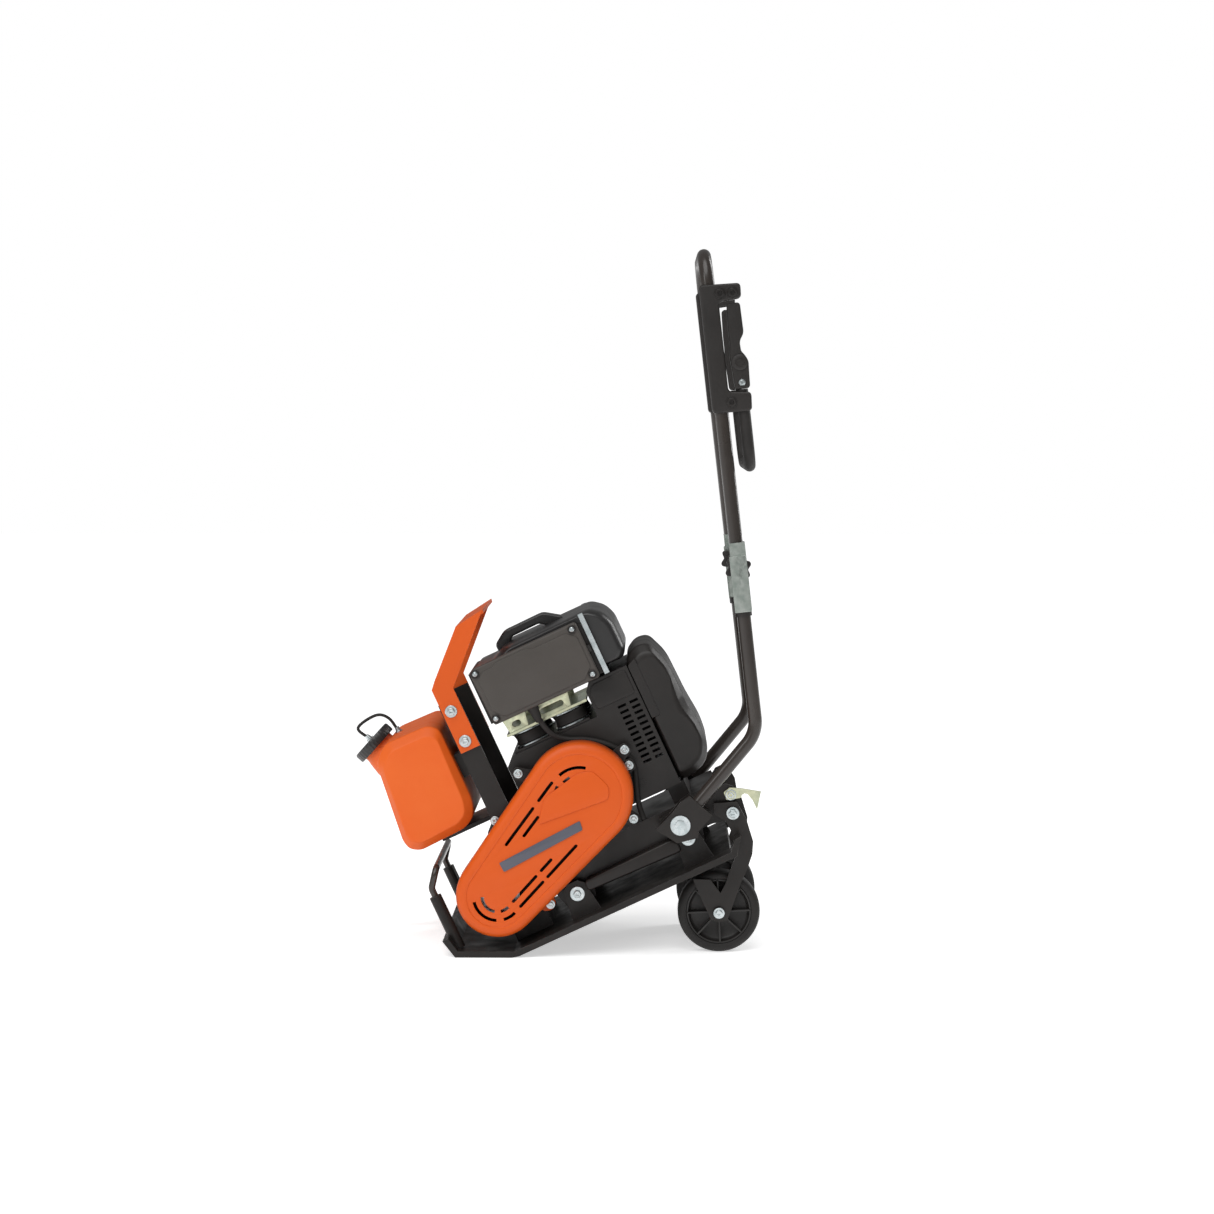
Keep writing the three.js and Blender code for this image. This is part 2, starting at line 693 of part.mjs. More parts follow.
function motorRearCover() {
  const half = MOTOR_HALF_WIDTH + 2;
  const skin = slab(rearCoverProfile(0), -half, half);
  const hollow = slab(rearCoverProfile(MOTOR_WALL), -half + MOTOR_WALL, half - MOTOR_WALL);
  const mouth = box(MOTOR_SPLIT - 1, MOTOR_SPLIT + 12, -half + MOTOR_WALL, half - MOTOR_WALL,
    MOTOR_BOTTOM + MOTOR_WALL + 2, MOTOR_TOP);
  return cut(solid(skin), hollow, mouth);
}

function motorShaft() {
  const noseEnd = PULLEY_INNER + PULLEY_WIDTH + 2;
  const shaft = bar(driveAxis, DRIVE_SHAFT_RADIUS, -noseEnd, 84);
  return joined(shaft, bar(driveAxis, ROTOR_RADIUS, -30, 40, 32));
}

// The stator is held by a bracket that stands on the floor of the case.
function motorStator() {
  const floor = MOTOR_BOTTOM + MOTOR_WALL + TOUCH;
  const barrel = bar(driveAxis, STATOR_OUTER, -40, 50, 36);
  const foot = box(DRIVE_U - 34, DRIVE_U + 34, -40, 50, floor, DRIVE_V - 20);
  const bore = bar(driveAxis, STATOR_BORE, -41, 51, 36);
  return cut(joined(barrel, foot), bore);
}

function motorController() {
  const floor = MOTOR_BOTTOM + MOTOR_WALL + TOUCH;
  const body = box(272, 346, -70, 70, floor, floor + 26);
  const fins = [];
  for (let fin = 0; fin < 6; fin += 1) {
    fins.push(box(276 + fin * 12, 281 + fin * 12, -66, 66, floor + 25, floor + 46));
  }
  return joined(body, ...fins);
}

place('motor_case', motorCase(), BLACK_PLASTIC);
place('motor_rear_cover', motorRearCover(), BLACK_PLASTIC);
place('motor_shaft', motorShaft(), STEEL);
place('motor_stator', motorStator(), COPPER);
place('motor_controller', motorController(), ALUMINIUM);

// ---------------------------------------------------------------- isolators and battery cradle

const isolatorBase = MOTOR_LOW_TOP + TOUCH;
const isolatorLow = isolatorBase + ISOLATOR_PLATE + TOUCH;
const isolatorHigh = isolatorLow + ISOLATOR_HEIGHT;
const bracketLow = isolatorHigh + TOUCH;

function isolatorPlate() {
  const half = ISOLATOR_REACH + 1;
  return box(ISOLATOR_U[0] - 36, ISOLATOR_U[1] + 28, -half, half, isolatorBase, isolatorBase + ISOLATOR_PLATE);
}

function cradleBracket() {
  const half = ISOLATOR_REACH + 3;
  const plate = box(ISOLATOR_U[0] - 36, ISOLATOR_U[1] + 36, -half, half, bracketLow, bracketLow + ISOLATOR_PLATE);
  const ribs = [];
  for (const side of [-1, 1]) {
    const rib = outline([[136, bracketLow + 2], [262, bracketLow + 2], [274, STRAP_LOW - TOUCH],
      [130, STRAP_LOW - TOUCH]]);
    ribs.push(slab(rib, ...layer(side, TRAY_HALF_WIDTH - 7, TRAY_HALF_WIDTH - 2)));
  }
  return joined(plate, ...ribs);
}

const STRAP_LOW = CRADLE_BOTTOM - TOUCH - STRAP_THICKNESS;

// A strap of flat steel under the cradle, turned up along both of its sides.
function cradleStrap() {
  const inner = CRADLE_HALF_WIDTH + TOUCH;
  const outer = inner + STRAP_THICKNESS;
  const low = CRADLE_REAR + 1;
  const floor = box(136, low + 8, -60, 60, STRAP_LOW, CRADLE_BOTTOM - TOUCH);
  const cross = box(low, low + 8, -outer, outer, STRAP_LOW, CRADLE_BOTTOM - TOUCH);
  const legs = [-1, 1].map((side) => box(low, low + 8, ...layer(side, inner, outer), STRAP_LOW, 454));
  const tray = box(136, 290, -TRAY_HALF_WIDTH, TRAY_HALF_WIDTH, STRAP_LOW, CRADLE_BOTTOM - TOUCH);
  return joined(floor, cross, tray, ...legs);
}

// The cradle is open at the top and the rear, where the battery stands out.
function batteryCradle() {
  const wall = CRADLE_WALL;
  const block = box(CRADLE_FRONT, CRADLE_REAR, -CRADLE_HALF_WIDTH, CRADLE_HALF_WIDTH, CRADLE_BOTTOM, CRADLE_TOP);
  const room = box(CRADLE_FRONT + wall, CRADLE_REAR + 10, -CRADLE_HALF_WIDTH + wall, CRADLE_HALF_WIDTH - wall,
    CRADLE_BOTTOM + wall, CRADLE_TOP + 10);
  return cut(solid(block), room);
}

function batteryPack() {
  const low = CRADLE_BOTTOM + CRADLE_WALL + TOUCH;
  const half = CRADLE_HALF_WIDTH - CRADLE_WALL - RUNNING;
  const front = CRADLE_FRONT + CRADLE_WALL + RUNNING;
  const profile = outline([[front, low], [BATTERY_REAR - 10, low], [BATTERY_REAR, low + 14],
    [BATTERY_REAR, 420], [BATTERY_REAR - 9, 440], [BATTERY_REAR - 28, BATTERY_TOP], [front + 60, BATTERY_TOP],
    [front + 40, 444], [front + 6, 444], [front, 438]]);
  const grip = outline([[170, 440], [168, 460], [190, GRIP_TOP - 1], [262, GRIP_TOP], [292, 455], [292, 444]]);
  const hand = outline([[184, HAND_FLOOR], [196, GRIP_TOP - 10], [256, GRIP_TOP - 9], [274, HAND_FLOOR]]);
  const handRoom = slab(hand, -HAND_HALF_WIDTH, HAND_HALF_WIDTH);
  return cut(joined(slab(profile, -half, half), slab(grip, -16, 16)), handRoom);
}

const panelOutline = outline([[124, 349], [312, 349], [312, 447], [130, 447], [122, 438]]);

function controlPanel() {
  const inner = CRADLE_HALF_WIDTH + TOUCH;
  const body = slab(panelOutline, -inner - PANEL_THICKNESS, -inner);
  const button = box(300, 313, -inner - 17, -inner - 5, 392, 404);
  return cut(solid(body), button);
}

function startButton() {
  const inner = CRADLE_HALF_WIDTH + TOUCH;
  return box(304, 316, -inner - 17 + RUNNING, -inner - 5 - RUNNING, 392 + RUNNING, 404 - RUNNING);
}

place('isolator_plate', isolatorPlate(), YELLOW_ZINC);
for (const [name, side] of SIDES) {
  ISOLATOR_U.forEach((u, index) => {
    const waist = post([u, side * ISOLATOR_Y], ISOLATOR_RADIUS, isolatorLow, isolatorHigh, 28);
    place(`isolator_${['front', 'rear'][index]}_${name}`, waist, RUBBER);
  });
}
place('cradle_bracket', cradleBracket(), YELLOW_ZINC);
place('cradle_strap', cradleStrap(), ZINC);
place('battery_cradle', batteryCradle(), BLACK_PLASTIC);
place('battery_pack', batteryPack(), BLACK_PLASTIC);
place('control_panel', controlPanel(), GREY_PLASTIC);
place('start_button', startButton(), RUBBER);

// The power cable leaves the control box, rounds the belt guard and goes into the deck.
const CABLE_ROUTE = [
  at(191, -122, 348.5),
  at(192, -121, 330),
  at(196, -118, 308),
  at(205, -115, 290),
  at(221, -112, 277),
  at(244, -110, 266),
  at(264, -109, 252),
  at(280, -108, 236),
  at(294, -107, 216),
  at(298, -107, 196),
  at(293, -107, 175),
  at(286, -107, 156),
  at(280, -106.5, 138),
  at(277, -106, 122),
  at(276, -106, DECK_TOP + TOUCH),
];
const cableCurve = new THREE.CatmullRomCurve3(CABLE_ROUTE);
place('power_cable', tube(cableCurve.getSpacedPoints(36), CABLE_RADIUS, 8), RUBBER);

// ---------------------------------------------------------------- front frame and bail

function frontFrame() {
  const side = outline([[POST_FRONT, 66], [POST_REAR, 66], [POST_REAR, POST_TOP], [POST_FRONT, POST_TOP]]);
  const pieces = [
    box(POST_FRONT, POST_FRONT + 5, -POST_OUTER, POST_OUTER, 166, POST_TOP),
    box(TANK_SHELF_FRONT, POST_FRONT + 1, -70, 70, 207, TANK_BOTTOM - TOUCH),
  ];
  for (const [, hand] of SIDES) {
    pieces.push(slab(side, ...layer(hand, POST_INNER, POST_OUTER)));
    pieces.push(box(TANK_REAR + TOUCH, POST_FRONT + 1, ...layer(hand, 50, 90), 290, 330));
  }
  return cut(joined(...pieces), box(POST_FRONT - 1, POST_FRONT + 6, -70, 70, 232, 280));
}


const bailOutline = outline([[54.5, 330], [88, 330], [88, 432], [185, 527], [134, 520], [66, 455], [55, 443]]);

function guardBail() {
  const inner = POST_OUTER + TOUCH;
  const outer = inner + BAIL_THICKNESS;
  const flange = outline([[134, 520], [185, 527], [184, 521], [134, 514.5]]);
  const pieces = SIDES.map(([, side]) => slab(bailOutline, ...layer(side, inner, outer)));
  return joined(...pieces, slab(flange, -outer + 1, outer - 1));
}

place('front_frame', frontFrame(), BLACK_PAINT);
place('guard_bail', guardBail(), ORANGE_PAINT);

// ---------------------------------------------------------------- water tank

const capAxis = new THREE.Vector3(-Math.sin(rad(CAP_LEAN)), 0, Math.cos(rad(CAP_LEAN)));
const capCentre = at(CAP_U, 0, CAP_V);

// A piece turned about the filler's axis; heights are measured from the middle of the cap.
function onFiller(profile, sides = 32) {
  const points = profile.map(([radius, height]) => new THREE.Vector2(radius, height));
  const geometry = new THREE.LatheGeometry(points, sides);
  const lean = new THREE.Quaternion().setFromUnitVectors(at(0, 1, 0), capAxis);
  geometry.applyQuaternion(lean);
  geometry.translate(capCentre.x, capCentre.y, capCentre.z);
  return geometry;
}

function tankProfile(inset) {
  return outline([
    [-73 + inset, TANK_BOTTOM + inset],
    [8 - inset, TANK_BOTTOM + 3 + inset],
    [28 - inset, TANK_BOTTOM + 14 + inset],
    [TANK_REAR - inset, 254 + inset / 2],
    [TANK_REAR - inset, 381 - inset / 2],
    [23 - inset / 2, 394 - inset],
    [-53 + inset / 2, 396 - inset],
    [-78 + inset, 373 - inset / 2],
    [-93 + inset, 240 + inset / 2],
    [-89 + inset, 224 + inset],
  ]);
}

// The neck is carried forward by a shoulder at the tank's front top corner.
function waterTank() {
  const half = TANK_HALF_WIDTH;
  const body = slab(tankProfile(8), -half + 8, half - 8,
    { bevelEnabled: true, bevelSize: 8, bevelThickness: 8, bevelSegments: 2 });
  const hollow = slab(tankProfile(TANK_WALL + 5), -half + TANK_WALL + 3, half - TANK_WALL - 3);
  const neckTop = CAP_HEIGHT / 2 - 6;
  const neck = onFiller([[0, -60], [NECK_RADIUS, -60], [NECK_RADIUS, neckTop - TOUCH], [0, neckTop - TOUCH]]);
  const bore = onFiller([[0, -70], [NECK_RADIUS - TANK_WALL, -70], [NECK_RADIUS - TANK_WALL, neckTop + 1],
    [0, neckTop + 1]]);
  return cut(joined(body, neck), hollow, bore);
}

function tankCap() {
  const half = CAP_HEIGHT / 2;
  return onFiller([[0, half - 6], [NECK_RADIUS + RUNNING, half - 6], [NECK_RADIUS + RUNNING, -half],
    [CAP_RADIUS, -half], [CAP_RADIUS, half], [0, half]]);
}

function capTether() {
  const start = capCentre.clone().addScaledVector(capAxis, CAP_HEIGHT / 2 + TOUCH);
  const rise = capCentre.clone().addScaledVector(capAxis, 36);
  const corners = [start, rise, at(-62, 0, 437), at(-44, 0, 424), at(-38, 0, 396 + TOUCH)];
  return tube(new THREE.CatmullRomCurve3(corners).getSpacedPoints(14), TETHER_RADIUS, 6);
}

place('water_tank', waterTank(), ORANGE_PLASTIC);
place('tank_cap', tankCap(), BLACK_PLASTIC);
place('cap_tether', capTether(), RUBBER);
place('sprinkler_bar', bar([TANK_REAR + 6, 190], 8, -SPRINKLER_HALF_WIDTH, SPRINKLER_HALF_WIDTH, 16), BLACK_PLASTIC);

// ---------------------------------------------------------------- handle

const pivotPoint = new THREE.Vector2(...HANDLE_PIVOT);
const elbowPoint = new THREE.Vector2(...ELBOW);
const topPoint = new THREE.Vector2(...HANDLE_TOP);
const lowerWay = elbowPoint.clone().sub(pivotPoint).normalize();
const upperWay = topPoint.clone().sub(elbowPoint).normalize();
const rearWay = new THREE.Vector2(upperWay.y, -upperWay.x);
const foldPoint = elbowPoint.clone().addScaledVector(upperWay, FOLD_DISTANCE);

// A point beside the upper leg: a distance from the elbow and an offset rearward of the leg's axis.
function onLeg(distance, offset = 0) {
  const point = elbowPoint.clone().addScaledVector(upperWay, distance).addScaledVector(rearWay, offset);
  return [point.x, point.y];
}

const legPoint = (y, distance, offset = 0) => at(onLeg(distance, offset)[0], y, onLeg(distance, offset)[1]);

// The legs are tied together by the upper bow alone. Each ends below the arc that the bow's foot swings on.
function handleLower(side) {
  const end = FOLD_DISTANCE - Math.hypot(FOLD_CLEAR, LEG_RADIUS) - RUNNING;
  const leg = (extra, radius, sides) => {
    const tail = pivotPoint.clone().addScaledVector(lowerWay, -LEG_TAIL - extra);
    return tube(bentRoute([
      at(tail.x, side * LEG_Y, tail.y),
      at(elbowPoint.x, side * LEG_Y, elbowPoint.y),
      legPoint(side * LEG_Y, end + extra),
    ], LEG_BEND, 6), radius, sides);
  };
  const hole = bar(HANDLE_PIVOT, PIVOT_BOLT_RADIUS + TOUCH, side * LEG_Y - 20, side * LEG_Y + 20, 16);
  return cut(solid(leg(0, LEG_RADIUS, 14)), leg(1, LEG_RADIUS - LEG_WALL, 8), hole);
}

function handleUpper() {
  const foot = FOLD_DISTANCE - FOLD_CLEAR + TOUCH;
  const length = topPoint.distanceTo(elbowPoint);
  const bow = (extra, radius, sides) => tube(bentRoute([
    legPoint(-LEG_Y, foot - extra),
    legPoint(-LEG_Y, length),
    legPoint(LEG_Y, length),
    legPoint(LEG_Y, foot - extra),
  ], BOW_BEND, 6), radius, sides);
  const holes = SIDES.map(([, side]) => bar([foldPoint.x, foldPoint.y], FOLD_BOLT_RADIUS + TOUCH,
    side * LEG_Y - 20, side * LEG_Y + 20, 12));
  return cut(solid(bow(0, LEG_RADIUS, 14)), bow(1, LEG_RADIUS - LEG_WALL, 8), ...holes);
}


// A channel round the joint of the tubes, open at the front, with a window where the upper leg's foot swings.
function foldSleeve(side) {
  const inner = LEG_RADIUS + TOUCH;
  const outer = inner + SLEEVE_WALL;
  const low = FOLD_DISTANCE - FOLD_BELOW;
  const high = FOLD_DISTANCE + FOLD_ABOVE;
  const strip = (from, to, start, end) => outline([onLeg(start, from), onLeg(start, to), onLeg(end, to),
    onLeg(end, from)]);
  const block = slab(strip(-inner, outer, low, high), side * LEG_Y - outer, side * LEG_Y + outer);
  const room = slab(strip(-outer - 1, inner, low - 1, high + 1), side * LEG_Y - inner, side * LEG_Y + inner);
  const window = slab(strip(inner - 1, outer + 1, FOLD_DISTANCE - 22, FOLD_DISTANCE + 8),
    side * LEG_Y - inner, side * LEG_Y + inner);
  const hole = bar([foldPoint.x, foldPoint.y], FOLD_BOLT_RADIUS + TOUCH, side * LEG_Y - 20, side * LEG_Y + 20, 12);
  return cut(solid(block), room, window, hole);
}

// A star knob on the inner side of the leg, with its bolt through the fold hinge.
function foldKnob(side) {
  const star = new THREE.Shape();
  const lobes = 6;
  for (let step = 0; step < lobes * 8; step += 1) {
    const angle = (2 * PI * step) / (lobes * 8);
    const radius = KNOB_RADIUS - 3 + 3 * Math.cos(lobes * angle);
    const point = [foldPoint.x + radius * Math.cos(angle), foldPoint.y + radius * Math.sin(angle)];
    if (step === 0) star.moveTo(...point);
    else star.lineTo(...point);
  }
  const wall = LEG_RADIUS + TOUCH + SLEEVE_WALL + TOUCH;
  const knob = slab(star, ...layer(side, LEG_Y - wall - 15, LEG_Y - wall));
  const bolt = bar([foldPoint.x, foldPoint.y], FOLD_BOLT_RADIUS, ...layer(side, LEG_Y - wall - 1, LEG_Y + wall), 12);
  const head = bar([foldPoint.x, foldPoint.y], 7, ...layer(side, LEG_Y + wall, LEG_Y + wall + 4), 6);
  return joined(knob, bolt, head);
}

// A clevis on the deck's side holds the foot of each leg.
function handleBracket(side) {
  const inner = LEG_RADIUS + RUNNING;
  const cheek = outline([[290, 92], [312, 58], [345, 52], [351, 61], [381, 75], [361, 119], [345, 116],
    [322, 104]]);
  const inside = slab(cheek, ...layer(side, LEG_Y - inner - BRACKET_PLATE, LEG_Y - inner));
  const outside = slab(cheek, ...layer(side, LEG_Y + inner, LEG_Y + inner + BRACKET_PLATE));
  const web = outline([[312, 58], [345, 52], [344, 58], [314, 63]]);
  const floor = slab(web, ...layer(side, LEG_Y - inner - 1, LEG_Y + inner + 1));
  const standoff = box(300, 362, ...layer(side, BEAM_OUTER + TOUCH, LEG_Y - inner - 1), 93, 101);
  const hole = bar(HANDLE_PIVOT, PIVOT_BOLT_RADIUS + TOUCH, ...layer(side, LEG_Y - 20, LEG_Y + 20), 16);
  return cut(joined(inside, outside, floor, standoff), hole);
}

function pivotBolt(side) {
  const reach = LEG_RADIUS + RUNNING + BRACKET_PLATE + TOUCH;
  const shank = bar(HANDLE_PIVOT, PIVOT_BOLT_RADIUS, ...layer(side, LEG_Y - reach - 1, LEG_Y + reach + 1), 16);
  const washer = bar(HANDLE_PIVOT, 16, ...layer(side, LEG_Y + reach, LEG_Y + reach + 3), 24);
  const head = bar(HANDLE_PIVOT, 9, ...layer(side, LEG_Y + reach + 2, LEG_Y + reach + 7), 6);
  const nut = bar(HANDLE_PIVOT, 9, ...layer(side, LEG_Y - reach - 7, LEG_Y - reach), 6);
  return joined(shank, washer, head, nut);
}

function gripBracket(side) {
  const shell = GRIP_SHELL;
  const shape = outline([
    onLeg(GRIP_LOW, -shell),
    onLeg(GRIP_LOW, GRIP_REACH - 8),
    onLeg(GRIP_LOW + 8, GRIP_REACH),
    onLeg(GRIP_LOW + GRIP_ARM, GRIP_REACH),
    onLeg(GRIP_LOW + GRIP_ARM + 2, shell),
    onLeg(GRIP_HIGH - GRIP_ARM - 2, shell),
    onLeg(GRIP_HIGH - GRIP_ARM, GRIP_REACH),
    onLeg(GRIP_HIGH - 4, GRIP_REACH),
    onLeg(GRIP_HIGH, GRIP_REACH - 5),
    onLeg(GRIP_HIGH, -shell + 8),
    onLeg(GRIP_HIGH - 18, -shell),
  ]);
  const half = GRIP_THICKNESS / 2;
  const body = slab(shape, side * LEG_Y - half, side * LEG_Y + half);
  const way = [legPoint(side * LEG_Y, GRIP_LOW - 5), legPoint(side * LEG_Y, GRIP_HIGH + 5)];
  return cut(solid(body), tube(way, LEG_RADIUS + TOUCH, 16), loopRoom(side));
}

// Room in the lower arm for the leg of the grip loop.
function loopRoom(side) {
  const way = [legPoint(side * LEG_Y, GRIP_LOW - 5, LOOP_OFFSET),
    legPoint(side * LEG_Y, GRIP_LOW + GRIP_ARM + 5, LOOP_OFFSET)];
  return tube(way, LOOP_RADIUS + 2.5, 16);
}

const LINK_LOW = GRIP_LOW + GRIP_ARM + 8;
const LINK_HIGH = GRIP_HIGH - GRIP_ARM - 2 - RUNNING;

function gripLink(side) {
  const shape = outline([
    onLeg(LINK_LOW, 20),
    onLeg(LINK_LOW, 50),
    onLeg(LINK_LOW + 56, 52),
    onLeg(LINK_LOW + 66, 42),
    onLeg(LINK_LOW + 80, 45),
    onLeg(LINK_HIGH, 48),
    onLeg(LINK_HIGH, 20),
  ]);
  const half = LINK_THICKNESS / 2;
  return slab(shape, side * LEG_Y - half, side * LEG_Y + half);
}

function gripLoop() {
  const top = LINK_LOW - TOUCH;
  return tube(bentRoute([
    legPoint(-LEG_Y, top, LOOP_OFFSET),
    legPoint(-LEG_Y, LOOP_BOTTOM, LOOP_OFFSET),
    legPoint(LEG_Y, LOOP_BOTTOM, LOOP_OFFSET),
    legPoint(LEG_Y, top, LOOP_OFFSET),
  ], 34, 6), LOOP_RADIUS, 14);
}

place('handle_upper', handleUpper(), BLACK_PAINT);
place('grip_loop', gripLoop(), RUBBER);
for (const [name, side] of SIDES) {
  place(`handle_lower_${name}`, handleLower(side), BLACK_PAINT);
  place(`handle_bracket_${name}`, handleBracket(side), BLACK_PAINT);
  place(`handle_pivot_bolt_${name}`, pivotBolt(side), ZINC);
  place(`fold_sleeve_${name}`, foldSleeve(side), ZINC);
  place(`fold_knob_${name}`, foldKnob(side), BLACK_PLASTIC);
  place(`grip_bracket_${name}`, gripBracket(side), BLACK_PLASTIC);
  place(`grip_link_${name}`, gripLink(side), RUBBER);
}

// ---------------------------------------------------------------- transport wheels

const wheelCentre = [WHEEL_U, WHEEL_V];
const WHEEL_OUTER = WHEEL_PLATE_INNER - 2;

function wheelBracket() {
  const plate = outline([[390, 87], [425, 74], [427, 40], [422, 4], [412, -14], [395, -32], [372, -52],
    [345, -80], [331, -94], [317, -92], [307, -82], [307, -48], [308, -11], [333, -23], [339, -50],
    [352, -40], [364, -27.5], [392, 0], [397, 30], [396, 52], [384, 70]]);
  const pieces = SIDES.map(([, side]) =>
    slab(plate, ...layer(side, WHEEL_PLATE_INNER, WHEEL_PLATE_INNER + WHEEL_PLATE)));
  const reach = WHEEL_PLATE_INNER + WHEEL_PLATE;
  const axle = bar(wheelCentre, AXLE_RADIUS, -reach - 6, reach + 6, 12);
  const pin = bar(CROSS_PIN, 4, -WHEEL_PLATE_INNER - 1, WHEEL_PLATE_INNER + 1, 10);
  const spacer = bar(wheelCentre, 14, -WHEEL_OUTER + WHEEL_WIDTH + 1, WHEEL_OUTER - WHEEL_WIDTH - 1, 12);
  const holes = SIDES.map(([, side]) => bar(WHEEL_PIVOT, EAR_PIN_RADIUS + TOUCH,
    ...layer(side, WHEEL_PLATE_INNER - 1, reach + 1), 16));
  return cut(joined(...pieces, axle, pin, spacer), ...holes);
}

function wheel(side) {
  const [low, high] = layer(side, WHEEL_OUTER - WHEEL_WIDTH, WHEEL_OUTER);
  const bore = AXLE_RADIUS + RUNNING;
  const crown = 5;
  return turned(wheelCentre, [
    [bore, low],
    [20, low],
    [22, low + 6],
    [48, low + 6],
    [52, low],
    [WHEEL_RADIUS - crown, low],
    [WHEEL_RADIUS, low + crown],
    [WHEEL_RADIUS, high - crown],
    [WHEEL_RADIUS - crown, high],
    [52, high],
    [48, high - 6],
    [22, high - 6],
    [20, high],
    [bore, high],
    [bore, low],
  ], 28);
}

// A hook that catches the cross pin when the wheels are folded up behind the machine.
function wheelLatch() {
  const hook = outline([[411, 82], [412, 95], [424, 98], [442, 88], [467, 71], [449, 47], [448.8, 56],
    [448.8, 64], [447, 71], [445.5, 76.5], [441.5, 79.5], [437, 79], [434, 75.5], [427, 77]]);
  const [low, high] = layer(-1, EAR_OUTER + TOUCH, EAR_OUTER + TOUCH + 4);
  const boss = bar(LATCH_BOLT, 7, low - 4, low + 1, 16);
  return joined(slab(hook, low, high), boss);
}

place('wheel_bracket', wheelBracket(), BLACK_PAINT);
for (const [name, side] of SIDES) {
  place(`wheel_${name}`, wheel(side), RUBBER);
}
place('wheel_latch', wheelLatch(), YELLOW_ZINC);

// ---------------------------------------------------------------- the parked machine

machine.rotation.y = -rad(PARK_TILT);
machine.updateMatrixWorld(true);
const whole = new THREE.Box3().setFromObject(machine, true);
machine.position.set(-(whole.min.x + whole.max.x) / 2, -(whole.min.y + whole.max.y) / 2, -whole.min.z);

const compactor = new THREE.Group();
compactor.add(machine);

export default compactor;
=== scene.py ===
"""Plate compactor: detailed pieces, materials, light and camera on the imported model."""

import json
import math

import bmesh
import bpy
from mathutils import Matrix, Vector


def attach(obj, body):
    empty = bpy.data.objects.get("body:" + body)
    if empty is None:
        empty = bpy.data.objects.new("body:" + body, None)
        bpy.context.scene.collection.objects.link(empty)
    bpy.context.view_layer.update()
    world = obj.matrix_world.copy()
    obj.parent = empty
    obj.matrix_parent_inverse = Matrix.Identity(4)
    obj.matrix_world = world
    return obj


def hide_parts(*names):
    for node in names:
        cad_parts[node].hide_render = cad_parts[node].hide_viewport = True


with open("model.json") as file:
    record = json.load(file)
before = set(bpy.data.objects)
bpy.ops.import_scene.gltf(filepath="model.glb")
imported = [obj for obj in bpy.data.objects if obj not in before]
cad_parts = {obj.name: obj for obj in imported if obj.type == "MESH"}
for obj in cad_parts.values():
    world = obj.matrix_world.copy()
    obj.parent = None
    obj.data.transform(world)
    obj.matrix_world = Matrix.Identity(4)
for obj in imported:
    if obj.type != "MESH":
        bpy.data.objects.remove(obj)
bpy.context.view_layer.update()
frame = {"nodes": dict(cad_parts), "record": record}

# ------------------------------------------------------------ the machine's own frame
# u runs rearward along the working face, v stands square to it, y is the row's Y. All in mm.

TILT = math.radians(25)
ORIGIN = Vector((-59.6, 0, 0))
U_WAY = Vector((math.cos(TILT), 0, math.sin(TILT)))
V_WAY = Vector((-math.sin(TILT), 0, math.cos(TILT)))
Y_WAY = Vector((0, 1, 0))
SIDES = (("left", -1), ("right", 1))


def spot(u, y, v):
    """A point of the machine's frame, in metres in the row's frame."""
    return (ORIGIN + U_WAY * u + Y_WAY * y + V_WAY * v) / 1000


# ------------------------------------------------------------ sizes that repeat the CAD's, mm

EXCITER = (14, 101)
DRIVE = (202, 192)
GUARD_RADII = (67, 86)
GUARD_INNER = 122.6
GUARD_OUTER = 171.6
WHEEL = (323.4, -77.4)
WHEEL_RADIUS = 66.5
WHEEL_FACE = 125.5
WHEEL_WIDTH = 35
LEG_Y = 150
LEG_RADIUS = 11
PIVOT = (328.5, 82.2)
ELBOW = (501, 164.5)
HANDLE_TOP = (744.5, 888.6)
FOLD = 263
CAP = (-83, 397)
CAP_LEAN = math.radians(23)
PANEL_FACE = 134.3
BAIL_FACE = 123.6
LUG_FACE = 132.6
EAR_FACE = 136.8

CAP_PLACE = spot(CAP[0], 0, CAP[1])
CAP_WAY = V_WAY * math.cos(CAP_LEAN) - U_WAY * math.sin(CAP_LEAN)


# ------------------------------------------------------------ materials


def shader(name, color, rough, metal=0.0, coat=0.0, spec=0.5):
    material = bpy.data.materials.new(name)
    material.use_nodes = True
    tree = material.node_tree
    surface = tree.nodes["Principled BSDF"]
    surface.inputs["Base Color"].default_value = (*color, 1)
    surface.inputs["Roughness"].default_value = rough
    surface.inputs["Metallic"].default_value = metal
    surface.inputs["Coat Weight"].default_value = coat
    surface.inputs["Coat Roughness"].default_value = 0.18
    surface.inputs["Specular IOR Level"].default_value = spec
    return material, tree, surface


def noise(tree, scale, detail=4.0, roughness=0.55, stretch=None):
    coords = tree.nodes.new("ShaderNodeTexCoord")
    texture = tree.nodes.new("ShaderNodeTexNoise")
    texture.inputs["Scale"].default_value = scale
    texture.inputs["Detail"].default_value = detail
    texture.inputs["Roughness"].default_value = roughness
    if stretch:
        mapping = tree.nodes.new("ShaderNodeMapping")
        mapping.inputs["Scale"].default_value = stretch
        tree.links.new(coords.outputs["Object"], mapping.inputs["Vector"])
        tree.links.new(mapping.outputs["Vector"], texture.inputs["Vector"])
    else:
        tree.links.new(coords.outputs["Object"], texture.inputs["Vector"])
    return texture.outputs["Fac"]


def ramp(tree, value, low, high, start=0.3, end=0.7):
    node = tree.nodes.new("ShaderNodeMapRange")
    node.inputs["From Min"].default_value = start
    node.inputs["From Max"].default_value = end
    node.inputs["To Min"].default_value = low
    node.inputs["To Max"].default_value = high
    tree.links.new(value, node.inputs["Value"])
    return node.outputs["Result"]


